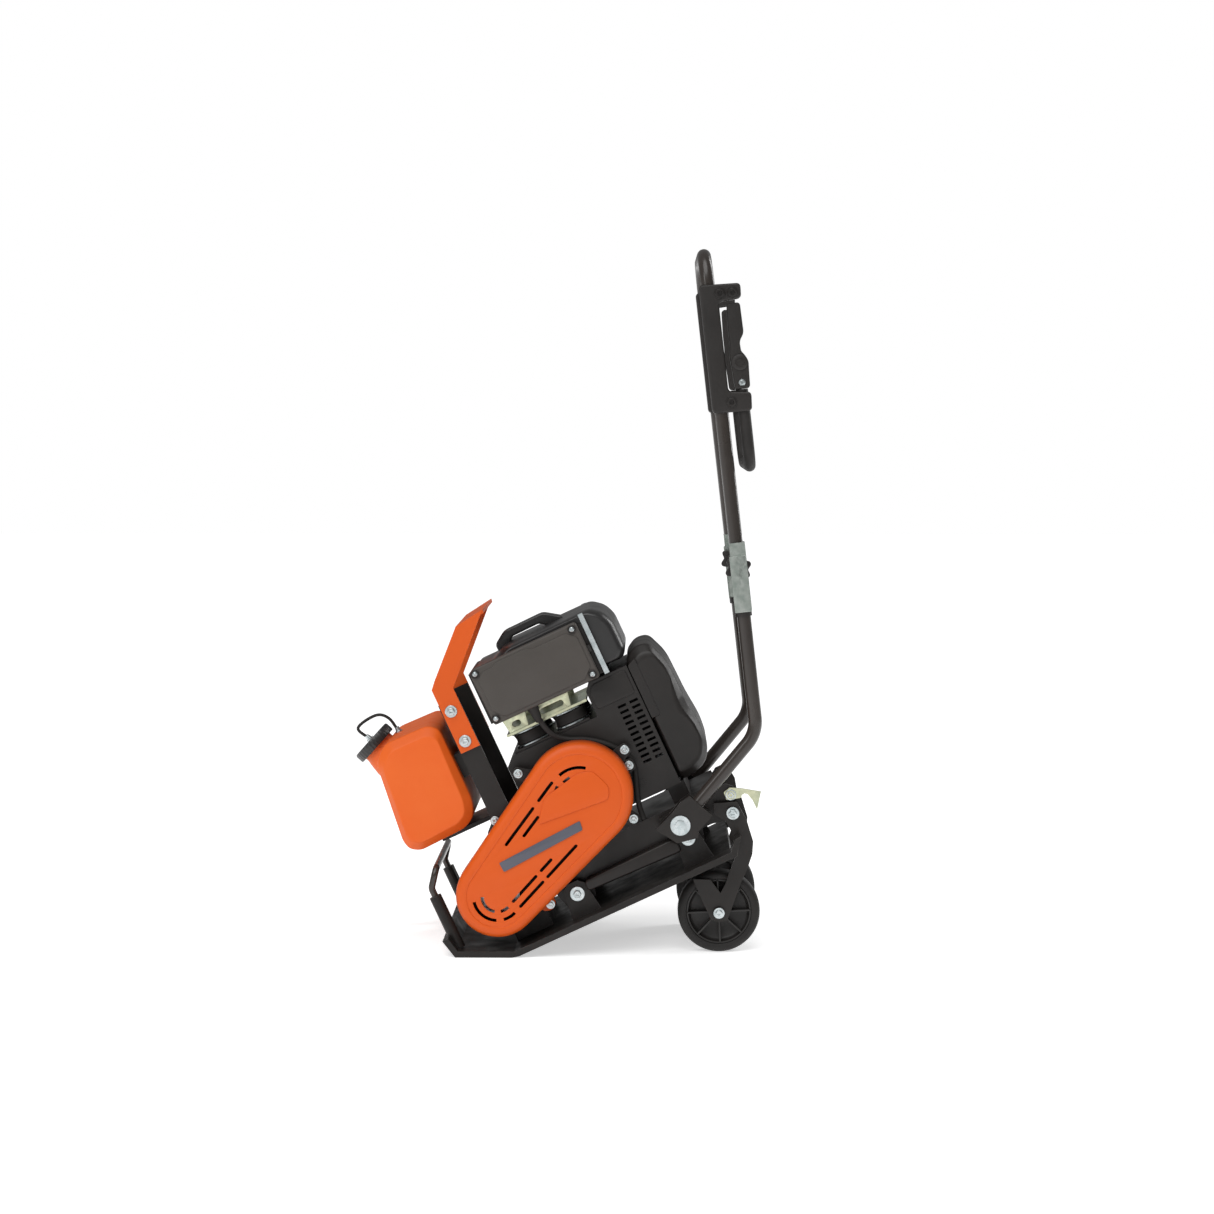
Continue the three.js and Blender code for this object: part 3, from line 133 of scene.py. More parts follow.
def blend_color(tree, factor, first, second):
    node = tree.nodes.new("ShaderNodeMix")
    node.data_type = "RGBA"
    tree.links.new(factor, node.inputs["Factor"])
    for socket, color in (("A", first), ("B", second)):
        port = [p for p in node.inputs if p.name == socket and p.type == "RGBA"][0]
        if isinstance(color, tuple):
            port.default_value = (*color, 1)
        else:
            tree.links.new(color, port)
    return [p for p in node.outputs if p.type == "RGBA"][0]


EDGE_REACH = 0.0012
EDGE_TURNS = (0.204, 0.65)  # how far apart the two normals are where the painted edge highlight starts and where it is full


def edge_highlight_mask(tree):
    """How near a point is to a sharp edge, where a paler colour is painted on as a highlight."""
    rounded_off = tree.nodes.new("ShaderNodeBevel")
    rounded_off.samples = 4
    rounded_off.inputs["Radius"].default_value = EDGE_REACH
    geometry = tree.nodes.new("ShaderNodeNewGeometry")
    apart = tree.nodes.new("ShaderNodeVectorMath")
    apart.operation = "DISTANCE"
    tree.links.new(rounded_off.outputs["Normal"], apart.inputs[0])
    tree.links.new(geometry.outputs["Normal"], apart.inputs[1])
    return ramp(tree, apart.outputs["Value"], 0.0, 1.0, *EDGE_TURNS)


def bump(tree, surface, heights):
    """Stacks (value, strength, distance) bumps onto the surface's normal."""
    normal = None
    for value, strength, distance in heights:
        node = tree.nodes.new("ShaderNodeBump")
        node.inputs["Strength"].default_value = strength
        node.inputs["Distance"].default_value = distance
        tree.links.new(value, node.inputs["Height"])
        if normal:
            tree.links.new(normal, node.inputs["Normal"])
        normal = node.outputs["Normal"]
    tree.links.new(normal, surface.inputs["Normal"])


def multiply(tree, first, second):
    node = tree.nodes.new("ShaderNodeMath")
    node.operation = "MULTIPLY"
    tree.links.new(first, node.inputs[0])
    tree.links.new(second, node.inputs[1])
    return node.outputs[0]


def painted(name, color, highlight_color, dusty, rough, peel=0.12, highlight_amount=0.5, coat=0.0):
    """Powder coat: orange peel, slow changes of tone, a painted highlight in broken patches along each sharp
    edge.
    """
    material, tree, surface = shader(name, color, rough, coat=coat, spec=0.32)
    tone = blend_color(tree, ramp(tree, noise(tree, 9), 0, 0.55), color, dusty)
    # paler colour in broken patches on sharp edges: a painted highlight
    highlit_edge_patches = multiply(tree, edge_highlight_mask(tree), ramp(tree, noise(tree, 70, 6, 0.7), 0, highlight_amount, 0.42, 0.66))
    tree.links.new(blend_color(tree, highlit_edge_patches, tone, highlight_color), surface.inputs["Base Color"])
    tree.links.new(ramp(tree, noise(tree, 26), rough - 0.07, rough + 0.1), surface.inputs["Roughness"])
    bump(tree, surface, [(noise(tree, 900, 2), peel, 0.0003), (noise(tree, 160, 3), peel * 0.6, 0.0006)])
    return material


def moulded(name, color, pale, rough, grain=0.3, grain_size=1500, coat=0.0, spec=0.45):
    """Moulded plastic: a fine spark-eroded grain, and a paler painted highlight along each sharp edge."""
    material, tree, surface = shader(name, color, rough, coat=coat, spec=spec)
    tone = blend_color(tree, ramp(tree, noise(tree, 14), 0, 0.4), color, pale)
    # paler colour on sharp edges, broken up by noise: a painted highlight
    pale_edge_highlight = multiply(tree, edge_highlight_mask(tree), ramp(tree, noise(tree, 45, 5), 0.1, 0.6))
    tree.links.new(blend_color(tree, pale_edge_highlight, tone, pale), surface.inputs["Base Color"])
    tree.links.new(ramp(tree, noise(tree, 40), rough - 0.05, rough + 0.09), surface.inputs["Roughness"])
    bump(tree, surface, [(noise(tree, grain_size, 2), grain, 0.00025), (noise(tree, 120), 0.08, 0.0006)])
    return material


def plated(name, color, second, rough, spangle=0.35, stretch=None):
    """Bare or plated metal: blotches of tone and roughness over a slightly uneven skin."""
    material, tree, surface = shader(name, color, rough, metal=1.0)
    blotch = ramp(tree, noise(tree, 85, 3, 0.5, stretch), 0, 1)
    tree.links.new(blend_color(tree, blotch, color, second), surface.inputs["Base Color"])
    tree.links.new(ramp(tree, noise(tree, 140, 4), rough - 0.1, rough + 0.14), surface.inputs["Roughness"])
    bump(tree, surface, [(noise(tree, 420, 3, 0.6, stretch), spangle, 0.0002)])
    return material


def cast(name, color, dusty, rough):
    """Painted casting: a sandy skin under the paint, patches of dust, and a painted highlight in broken
    patches along each sharp edge.
    """
    material, tree, surface = shader(name, color, rough, spec=0.3)
    tone = blend_color(tree, ramp(tree, noise(tree, 12, 6), 0, 0.6, 0.4, 0.7), color, dusty)
    # pale grey on sharp edges, in broken patches: a painted highlight
    edge_highlight_patches = multiply(tree, edge_highlight_mask(tree), ramp(tree, noise(tree, 60, 6, 0.7), 0, 0.7, 0.42, 0.62))
    tree.links.new(blend_color(tree, edge_highlight_patches, tone, (0.16, 0.15, 0.14)), surface.inputs["Base Color"])
    tree.links.new(ramp(tree, noise(tree, 30, 5), rough - 0.12, rough + 0.16), surface.inputs["Roughness"])
    bump(tree, surface, [(noise(tree, 480, 4), 0.35, 0.0005), (noise(tree, 70, 3), 0.2, 0.0014)])
    return material


# In each painted finish the second colour is the painted edge highlight, the third a dustier tone.
ORANGE = painted("orange_coat", (0.66, 0.093, 0.005), (0.7, 0.2, 0.06), (0.6, 0.082, 0.005), 0.46, 0.1, 0.25)
TANK_ORANGE = moulded("orange_plastic", (0.72, 0.108, 0.008), (0.77, 0.15, 0.02), 0.5, 0.22, 1100, 0.0, 0.35)
BLACK = painted("black_coat", (0.013, 0.0108, 0.0096), (0.12, 0.1, 0.09), (0.022, 0.0185, 0.0165),
                0.36, 0.14, 0.5, 0.0)
TUBE = painted("tube_coat", (0.026, 0.0205, 0.0175), (0.13, 0.11, 0.09), (0.042, 0.034, 0.028),
               0.3, 0.1, 0.3, 0.4)
CAST = cast("cast_coat", (0.011, 0.0095, 0.0085), (0.024, 0.021, 0.019), 0.44)
CASE = moulded("case_plastic", (0.0105, 0.0088, 0.0078), (0.024, 0.0205, 0.0185), 0.42, 0.22, 1500, 0.0, 0.4)
PACK = moulded("pack_plastic", (0.012, 0.0115, 0.0115), (0.032, 0.031, 0.031), 0.34, 0.2, 1300, 0.15)
PANEL = moulded("panel_plastic", (0.05, 0.043, 0.037), (0.072, 0.063, 0.056), 0.52, 0.35, 1300)
RUBBER = moulded("rubber", (0.017, 0.0155, 0.0145), (0.036, 0.033, 0.031), 0.62, 0.2, 700, 0.0, 0.3)
TYRE = moulded("tyre_rubber", (0.009, 0.008, 0.0075), (0.022, 0.02, 0.018), 0.6, 0.3, 520, 0.0, 0.35)
HUB = moulded("hub_plastic", (0.011, 0.0098, 0.009), (0.025, 0.022, 0.02), 0.44, 0.25)
GRIP = moulded("grip_plastic", (0.011, 0.009, 0.0078), (0.024, 0.02, 0.018), 0.48, 0.35, 1100)
ZINC = plated("zinc_plate", (0.62, 0.66, 0.67), (0.46, 0.52, 0.53), 0.28, 0.2)
GALVANISED = plated("galvanised", (0.42, 0.45, 0.42), (0.27, 0.31, 0.28), 0.42, 0.45)
YELLOW_ZINC = plated("yellow_zinc", (0.66, 0.66, 0.46), (0.5, 0.53, 0.38), 0.34, 0.25)
STEEL = plated("turned_steel", (0.5, 0.5, 0.5), (0.4, 0.4, 0.41), 0.3, 0.25, (1, 12, 1))
ALUMINIUM = plated("cast_aluminium", (0.6, 0.61, 0.62), (0.5, 0.51, 0.52), 0.45, 0.5)
COPPER = plated("windings", (0.62, 0.26, 0.12), (0.48, 0.19, 0.08), 0.38, 0.5, (1, 30, 1))
BADGE = moulded("badge", (0.075, 0.08, 0.105), (0.1, 0.105, 0.13), 0.4, 0.12, 1600, 0.2)

FINISHES = {
    "cast_black": CAST, "frame_black": BLACK, "guard_orange": ORANGE, "tank_orange": TANK_ORANGE,
    "case_black": CASE, "panel_grey": PANEL, "rubber_black": RUBBER, "wheel_rubber": TYRE, "zinc": ZINC,
    "yellow_zinc": YELLOW_ZINC, "steel": STEEL, "aluminium": ALUMINIUM, "copper": COPPER,
}

# ------------------------------------------------------------ CAD nodes that stay

BEVELS = {
    "base_plate": 2.2, "deck_frame": 1.6, "motor_case": 5.0, "motor_rear_cover": 9.0, "battery_pack": 7.0,
    "battery_cradle": 2.5, "front_frame": 1.2, "guard_bail": 1.0, "handle_bracket_left": 1.0,
    "handle_bracket_right": 1.0, "wheel_bracket": 1.0, "wheel_latch": 0.8, "grip_bracket_left": 3.0,
    "grip_bracket_right": 3.0, "grip_link_left": 4.0, "grip_link_right": 4.0, "cradle_bracket": 0.8,
    "isolator_plate": 0.8, "cradle_strap": 0.6,
}
MADE_OF = {
    "fold_sleeve_left": GALVANISED, "fold_sleeve_right": GALVANISED, "battery_pack": PACK,
    "handle_lower_left": TUBE, "handle_lower_right": TUBE, "handle_upper": TUBE, "lift_handle": TUBE,
    "isolator_plate": BLACK, "grip_bracket_left": GRIP, "grip_bracket_right": GRIP,
    "grip_link_left": GRIP, "grip_link_right": GRIP,
}


def dress(obj, material):
    obj.data.materials.clear()
    obj.data.materials.append(material)


def bevelled(obj, width, segments=3, angle=28):
    modifier = obj.modifiers.new("edge", "BEVEL")
    modifier.width = width / 1000
    modifier.segments = segments
    modifier.limit_method = "ANGLE"
    modifier.angle_limit = math.radians(angle)
    modifier.use_clamp_overlap = True
    modifier.harden_normals = False


def smoothed(obj, angle=32):
    for polygon in obj.data.polygons:
        polygon.use_smooth = True
    modifier = obj.modifiers.new("shade", "EDGE_SPLIT")
    modifier.split_angle = math.radians(angle)


slot_of = {part["node"]: part["material_slot"] for part in frame["record"]["subparts"]}
for node_name, node in frame["nodes"].items():
    dress(node, MADE_OF.get(node_name, FINISHES[slot_of[node_name]]))
    bevelled(node, BEVELS.get(node_name, 0.5), 3 if node_name in BEVELS else 2)
    weighted = node.modifiers.new("shade", "WEIGHTED_NORMAL")
    weighted.keep_sharp = True

# ------------------------------------------------------------ piece builders


def finished(obj, body, material, replaces=()):
    """Gives a piece its material and body and, where it has them and the nodes it replaces."""
    dress(obj, material)
    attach(obj, body)
    if replaces:
        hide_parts(*replaces)
    return obj


def mesh_piece(name, bm):
    """An object made of a bmesh, its faces turned outward."""
    bmesh.ops.recalc_face_normals(bm, faces=bm.faces)
    mesh = bpy.data.meshes.new(name)
    bm.to_mesh(mesh)
    bm.free()
    obj = bpy.data.objects.new(name, mesh)
    bpy.context.scene.collection.objects.link(obj)
    return obj


def turned(name, profile, centre, way, steps=64):
    """A piece turned about an axis. The profile is (radius, height along the axis) in mm."""
    bm = bmesh.new()
    turn = Vector((0, 0, 1)).rotation_difference(Vector(way)).to_matrix()
    rings = []
    for radius, height in profile:
        if radius < 1e-6:
            rings.append([bm.verts.new(centre + turn @ Vector((0, 0, height / 1000)))])
            continue
        ring = []
        for step in range(steps):
            angle = 2 * math.pi * step / steps
            local = Vector((radius * math.cos(angle), radius * math.sin(angle), height)) / 1000
            ring.append(bm.verts.new(centre + turn @ local))
        rings.append(ring)
    for low, high in zip(rings, rings[1:]):
        if len(low) == 1 and len(high) == 1:
            continue
        for step in range(steps):
            after = (step + 1) % steps
            if len(low) == 1:
                bm.faces.new((low[0], high[step], high[after]))
            elif len(high) == 1:
                bm.faces.new((low[step], low[after], high[0]))
            else:
                bm.faces.new((low[step], low[after], high[after], high[step]))
    obj = mesh_piece(name, bm)
    smoothed(obj, 40)
    return obj


def rounded(points, radius, steps=6):
    """A closed outline with its corners rounded."""
    out = []
    count = len(points)
    for i in range(count):
        before, here, after = (Vector(points[j % count]) for j in (i - 1, i, i + 1))
        arriving, leaving = (before - here), (after - here)
        reach = min(radius, arriving.length * 0.45, leaving.length * 0.45)
        start, end = here + arriving.normalized() * reach, here + leaving.normalized() * reach
        for step in range(steps + 1):
            t = step / steps
            out.append(tuple(start * (1 - t) ** 2 + here * 2 * t * (1 - t) + end * t * t))
    return out


def belt_outline(lower, upper, steps=56):
    """The outline of a belt round the exciter's and the motor's circles."""
    du, dv = DRIVE[0] - EXCITER[0], DRIVE[1] - EXCITER[1]
    along, distance = math.atan2(dv, du), math.hypot(du, dv)
    wrap = math.acos((lower - upper) / distance)
    points = []
    for step in range(steps + 1):
        angle = along - wrap + 2 * wrap * step / steps
        points.append((DRIVE[0] + upper * math.cos(angle), DRIVE[1] + upper * math.sin(angle)))
    for step in range(steps + 1):
        angle = along + wrap + (2 * math.pi - 2 * wrap) * step / steps
        points.append((EXCITER[0] + lower * math.cos(angle), EXCITER[1] + lower * math.sin(angle)))
    return points


def plate(name, outline, y_low, y_high, holes=(), bevel=0.0, bevel_steps=3):
    """A plate from an outline in u and v, between two distances in y, with a round edge."""
    curve = bpy.data.curves.new(name, "CURVE")
    curve.dimensions = "2D"
    curve.fill_mode = "BOTH"
    for loop in (outline, *holes):
        spline = curve.splines.new("POLY")
        spline.points.add(len(loop) - 1)
        for point, (u, v) in zip(spline.points, loop):
            point.co = (u / 1000, v / 1000, 0, 1)
        spline.use_cyclic_u = True
    curve.extrude = (y_high - y_low) / 2000 - bevel / 1000
    curve.bevel_depth = bevel / 1000
    curve.offset = -bevel / 1000
    curve.bevel_resolution = bevel_steps
    obj = bpy.data.objects.new(name, curve)
    bpy.context.scene.collection.objects.link(obj)
    graph = bpy.context.evaluated_depsgraph_get()
    mesh = bpy.data.meshes.new_from_object(obj.evaluated_get(graph))
    bpy.data.objects.remove(obj)
    bpy.data.curves.remove(curve)
    axes = Matrix((U_WAY, V_WAY, -Y_WAY)).transposed().to_4x4()
    mesh.transform(Matrix.Translation(spot(0, (y_low + y_high) / 2, 0)) @ axes)
    bm = bmesh.new()
    bm.from_mesh(mesh)
    bmesh.ops.remove_doubles(bm, verts=bm.verts, dist=1e-6)
    bpy.data.meshes.remove(mesh)
    obj = mesh_piece(name, bm)
    smoothed(obj, 38)
    return obj


def span(side, near, far):
    """Two distances from the middle on one side, as a low and a high y."""
    return sorted((side * near, side * far))


def skinned(bm, rings):
    """Faces between each ring of points and the next."""
    for low, high in zip(rings, rings[1:]):
        for i in range(len(low)):
            after = (i + 1) % len(low)
            bm.faces.new((low[i], low[after], high[after], high[i]))


def tube(name, points, radius, bend=None, resolution=10):
    """A round tube along points in metres, with round bends where a bend is given."""
    way = [Vector(p) for p in points]
    if bend:
        path = [way[0]]
        for before, here, after in zip(way, way[1:], way[2:]):
            arriving, leaving = (here - before).normalized(), (after - here).normalized()
            turn = arriving.angle(leaving)
            setback = bend / 1000 * math.tan(turn / 2)
            start = here - arriving * setback
            axis = arriving.cross(leaving).normalized()
            centre = start + axis.cross(arriving) * bend / 1000
            for step in range(19):
                path.append(centre + Matrix.Rotation(turn * step / 18, 3, axis) @ (start - centre))
        way = [*path, way[-1]]
    curve = bpy.data.curves.new(name, "CURVE")
    curve.dimensions = "3D"
    spline = curve.splines.new("POLY")
    spline.points.add(len(way) - 1)
    for point, place in zip(spline.points, way):
        point.co = (*place, 1)
    curve.bevel_depth = radius / 1000
    curve.bevel_resolution = resolution
    curve.use_fill_caps = True
    obj = bpy.data.objects.new(name, curve)
    bpy.context.scene.collection.objects.link(obj)
    mesh = bpy.data.meshes.new_from_object(obj.evaluated_get(bpy.context.evaluated_depsgraph_get()))
    bpy.data.objects.remove(obj)
    bpy.data.curves.remove(curve)
    bm = bmesh.new()
    bm.from_mesh(mesh)
    bpy.data.meshes.remove(mesh)
    obj = mesh_piece(name, bm)
    smoothed(obj, 40)
    return obj


def smooth_way(points, per_span=8):
    """Points along a smooth curve through the given ones."""
    places = [Vector(p) for p in points]
    padded = [2 * places[0] - places[1], *places, 2 * places[-1] - places[-2]]
    way = []
    for a, b, c, d in zip(padded, padded[1:], padded[2:], padded[3:]):
        for step in range(per_span):
            t = step / per_span
            way.append(0.5 * (2 * b + (c - a) * t + (2 * a - 5 * b + 4 * c - d) * t**2
                              + (3 * b - a - 3 * c + d) * t**3))
    return [*way, places[-1]]


def joined(name, pieces):
    """One piece made of several, with their modifiers made real."""
    graph = bpy.context.evaluated_depsgraph_get()
    bm = bmesh.new()
    for piece in pieces:
        mesh = bpy.data.meshes.new_from_object(piece.evaluated_get(graph))
        bm.from_mesh(mesh)
        bpy.data.meshes.remove(mesh)
        bpy.data.objects.remove(piece)
    mesh = bpy.data.meshes.new(name)
    bm.to_mesh(mesh)
    bm.free()
    obj = bpy.data.objects.new(name, mesh)
    bpy.context.scene.collection.objects.link(obj)
    for polygon in obj.data.polygons:
        polygon.use_smooth = True
    return obj


def bolt(name, centre, way, body, head=6.5, height=5.0, washer=9.5, material=ZINC, slot="zinc",
         socket=False):
    """A bolt seen from its head: a washer with a rim, then a chamfered hexagon or a socket head."""
    rim = [(0, 0), (washer, 0), (washer, 1.1), (washer - 0.5, 1.6), (head * 0.7, 1.6), (0, 1.6)]
    parts = [turned(f"{name}_w", rim, centre, way, 40)]
    if socket:
        profile = [(0, 1.5), (head - 0.5, 1.5), (head, 2.2), (head, height), (head - 0.9, height + 0.8),
                   (head * 0.55, height + 0.8), (head * 0.5, height - 1.6), (0, height - 1.9)]
        parts.append(turned(f"{name}_h", profile, centre, way, 32))
    else:
        profile = [(head, 1.5), (head, height - 0.6), (head * 0.88, height), (head * 0.45, height),
                   (head * 0.4, height - 0.5), (0, height - 0.5)]
        hexagon = turned(f"{name}_h", profile, centre, way, 6)
        hexagon.modifiers.clear()
        bevelled(hexagon, 0.35, 2, 20)
        smoothed(hexagon, 25)
        parts.append(hexagon)
    return finished(joined(name, parts), body, material)


# ------------------------------------------------------------ camera

camera = bpy.data.objects.new("camera", bpy.data.cameras.new("camera"))
bpy.context.scene.collection.objects.link(camera)
camera.data.sensor_width = 36
camera.data.lens = 80.03
camera.location = (0.1547, -4.4403, 0.8823)
camera.rotation_euler = (math.radians(90 - 4.272), 0, math.radians(0.919))
bpy.context.scene.camera = camera

# ------------------------------------------------------------ belt guard

SLOT = 2.5
BACK_PLATE_FACE = 122.3
GUARD_BOLT = (5.0, 5.0, 7.5)
TAB_ROOT = 78
TAB_ROOT_HALF = 13
TAB_TIP_HALF = 9


def slot_between(a, b, half=SLOT, steps=8):
    along = math.atan2(b[1] - a[1], b[0] - a[0])
    points = []
    for centre, turn in ((b, along - math.pi / 2), (a, along + math.pi / 2)):
        for step in range(steps + 1):
            angle = turn + math.pi * step / steps
            points.append((centre[0] + half * math.cos(angle), centre[1] + half * math.sin(angle)))
    return points


def slot_round(centre, radius, start, end, half=SLOT, steps=16):
    points = []
    for r, a, b in ((radius + half, start, end), (radius - half, end, start)):
        for step in range(steps + 1):
            angle = math.radians(a + (b - a) * step / steps)
            points.append((centre[0] + r * math.cos(angle), centre[1] + r * math.sin(angle)))
    return points


def slot_beside(side, lower, upper, start, end):
    du, dv = DRIVE[0] - EXCITER[0], DRIVE[1] - EXCITER[1]
    distance = math.hypot(du, dv)

    def point(length):
        offset = side * (lower + (upper - lower) * length / distance)
        return (EXCITER[0] + (du * length - dv * offset) / distance,
                EXCITER[1] + (dv * length + du * offset) / distance)

    return slot_between(point(start), point(end))


GUARD_SLOTS = [
    slot_beside(1, 38, 49, 75, 147), slot_beside(1, 38, 49, 163, 198), slot_beside(1, 24, 34, 104, 141),
    slot_beside(-1, 38, 49, 12, 65), slot_beside(-1, 38, 49, 77, 144), slot_beside(-1, 24, 34, 11, 65),
    slot_beside(-1, 24, 34, 78, 101), slot_round(EXCITER, 38, 168, 243), slot_round(EXCITER, 38, 261, 293),
    slot_round(EXCITER, 24, 156, 235), slot_round(EXCITER, 24, 259, 292), slot_round(DRIVE, 47, 53, 108),
    slot_round(DRIVE, 34, 92, 113), slot_round(DRIVE, 39, 129, 144),
]


def belt_guard():
    """A pressed cover: a skirt that rolls over into a broad bevelled rim and a flat face with slots."""
    steps = [(0, GUARD_INNER), (0, GUARD_OUTER - 14), (1.2, GUARD_OUTER - 9), (4, GUARD_OUTER - 5),
             (8, GUARD_OUTER - 2.6), (13, GUARD_OUTER - 1.4), (17, GUARD_OUTER - 1.0),
             (18.5, GUARD_OUTER - 2.0)]
    bm = bmesh.new()
    rings = []
    for inset, depth in steps:
        outline = belt_outline(GUARD_RADII[0] - inset, GUARD_RADII[1] - inset)
        rings.append([bm.verts.new(spot(u, -depth, v)) for u, v in outline])
    skinned(bm, rings)
    skirt = mesh_piece("guard_skirt", bm)
    smoothed(skirt, 60)
    thick = skirt.modifiers.new("wall", "SOLIDIFY")
    thick.thickness, thick.offset = 0.002, -1
    face = plate("guard_face", belt_outline(GUARD_RADII[0] - 18, GUARD_RADII[1] - 18), -GUARD_OUTER + 1.4,
                 -GUARD_OUTER + 4.2, GUARD_SLOTS, 0.7, 2)
    pieces = [skirt, face]
    ear = plate("guard_ear", rounded([(62, 60), (66, 42), (82, 38), (92, 47), (90, 62)], 8), -GUARD_INNER - 6,
                -GUARD_INNER - 1.5, (), 1.0, 2)
    pieces.append(ear)
    guard = joined("belt_guard_shell", pieces)
    return finished(guard, "chassis", ORANGE, ("belt_guard",))


belt_guard()

badge_outline = rounded([(41.3, 133.1), (184.3, 142), (186, 157), (40.2, 149.5)], 2.5)
badge = plate("guard_badge", badge_outline, -GUARD_OUTER - 0.5, -GUARD_OUTER + 1.6, (), 0.4, 2)
finished(badge, "chassis", BADGE)
field_outline = rounded([(122, 179), (243, 169), (252, 188), (238, 222), (216, 228), (150, 214)], 8)
field = plate("guard_field", field_outline, -GUARD_OUTER - 0.2, -GUARD_OUTER + 2, (), 1.3, 3)
finished(field, "chassis", ORANGE)

for index, (u, v) in enumerate(((124, 262), (296, 225), (292, 199), (262, 117))):
    away = (Vector((u, v)) - Vector(DRIVE)).normalized()
    across = Vector((-away.y, away.x))
    root = Vector(DRIVE) + away * TAB_ROOT
    tip = Vector((u, v)) + away * TAB_TIP_HALF
    corners = [tuple(root + across * TAB_ROOT_HALF), tuple(root - across * TAB_ROOT_HALF),
               tuple(tip - across * TAB_TIP_HALF), tuple(tip + across * TAB_TIP_HALF)]
    tab = plate(f"guard_tab_{index}", rounded(corners, 6), -BACK_PLATE_FACE, -BACK_PLATE_FACE + 4, (),
                0.6, 2)
    finished(tab, "chassis", BLACK)
    bolt(f"guard_bolt_{index}", spot(u, -BACK_PLATE_FACE, v), -Y_WAY, "chassis", *GUARD_BOLT)
bolt("guard_ear_bolt", spot(82, -GUARD_INNER - 6, 48), -Y_WAY, "chassis", *GUARD_BOLT)
bolt("guard_post_bolt", spot(57, -118, 208), -Y_WAY, "chassis", *GUARD_BOLT)

for name, side in SIDES:
    rim_outline = rounded([(147, 42), (312, 38), (312, 56), (300, 63), (147, 61)], 7)
    rim = plate(f"beam_rim_{name}", rim_outline, *span(side, 110, 137), (), 4.0, 5)
    finished(rim, "chassis", BLACK)

# ------------------------------------------------------------ tubes

LEG_WAY = (Vector(HANDLE_TOP) - Vector(ELBOW)).normalized()
REAR_WAY = Vector((LEG_WAY.y, -LEG_WAY.x))
LOWER_WAY = (Vector(ELBOW) - Vector(PIVOT)).normalized()
LEG_LENGTH = (Vector(HANDLE_TOP) - Vector(ELBOW)).length


def on_leg(y, distance, offset=0.0):
    point = Vector(ELBOW) + LEG_WAY * distance + REAR_WAY * offset
    return spot(point.x, y, point.y)


for name, side in SIDES:
    tail = Vector(PIVOT) - LOWER_WAY * 15
    leg = tube(f"leg_{name}", [spot(tail.x, side * LEG_Y, tail.y), spot(ELBOW[0], side * LEG_Y, ELBOW[1]),
                               on_leg(side * LEG_Y, FOLD - 19.2)], LEG_RADIUS, 55, 12)
    finished(leg, "handle_base", TUBE, (f"handle_lower_{name}",))
    collar = tube(f"sleeve_collar_{name}", [on_leg(side * LEG_Y, FOLD - 75), on_leg(side * LEG_Y, FOLD - 65)],
                  LEG_RADIUS + 2.4, None, 12)
    bevelled(collar, 0.8, 2)
    finished(collar, "handle_base", GRIP)

bow = tube("bow", [on_leg(-LEG_Y, FOLD - 14.7), on_leg(-LEG_Y, LEG_LENGTH), on_leg(LEG_Y, LEG_LENGTH),
                   on_leg(LEG_Y, FOLD - 14.7)], LEG_RADIUS, 48, 12)
finished(bow, "handle_top", TUBE, ("handle_upper",))

LINK_FOOT = 547
LOOP_TOP = LINK_FOOT - 0.3
LOOP_BOTTOM = 424
LOOP_REAR = 36
loop = tube("grip_bar", [on_leg(-LEG_Y, LOOP_TOP, LOOP_REAR), on_leg(-LEG_Y, LOOP_BOTTOM, LOOP_REAR),
                         on_leg(LEG_Y, LOOP_BOTTOM, LOOP_REAR), on_leg(LEG_Y, LOOP_TOP, LOOP_REAR)],
            9.5, 34, 12)
finished(loop, "grip", RUBBER, ("grip_loop",))


def leg_outline(points):
    """An outline given along the upper leg and rearward of it, as u and v."""
    return [tuple(Vector(ELBOW) + LEG_WAY * distance + REAR_WAY * offset) for distance, offset in points]


CLASP_HALF = 15
CLASP = [(513, -14.5), (716, -14.5), (713, 51), (689, 50), (687, 14), (545, 14), (541, 50), (511, 48)]
ARM_HALF = 11
ARM = [(LINK_FOOT, 25), (LINK_FOOT, 49), (572, 50), (590, 51), (600, 46), (606, 41), (622, 40),
       (634, 48), (683, 47), (683, 26), (640, 24), (615, 24), (600, 22), (575, 24)]
ARM_HEAD = [(0, 0), (12.5, 0), (12.5, 2.4), (11.4, 3.2), (7, 3.2), (6.4, 2.2), (0, 2.2)]
SLEEVE = [(FOLD - 68, -13.5), (FOLD + 22, -13.5), (FOLD + 22, 13.5), (FOLD - 68, 13.5)]
STAR_RADIUS = 19
STAR_LOBE = 3
STAR_POINTS = 6
STAR_STEPS = 96

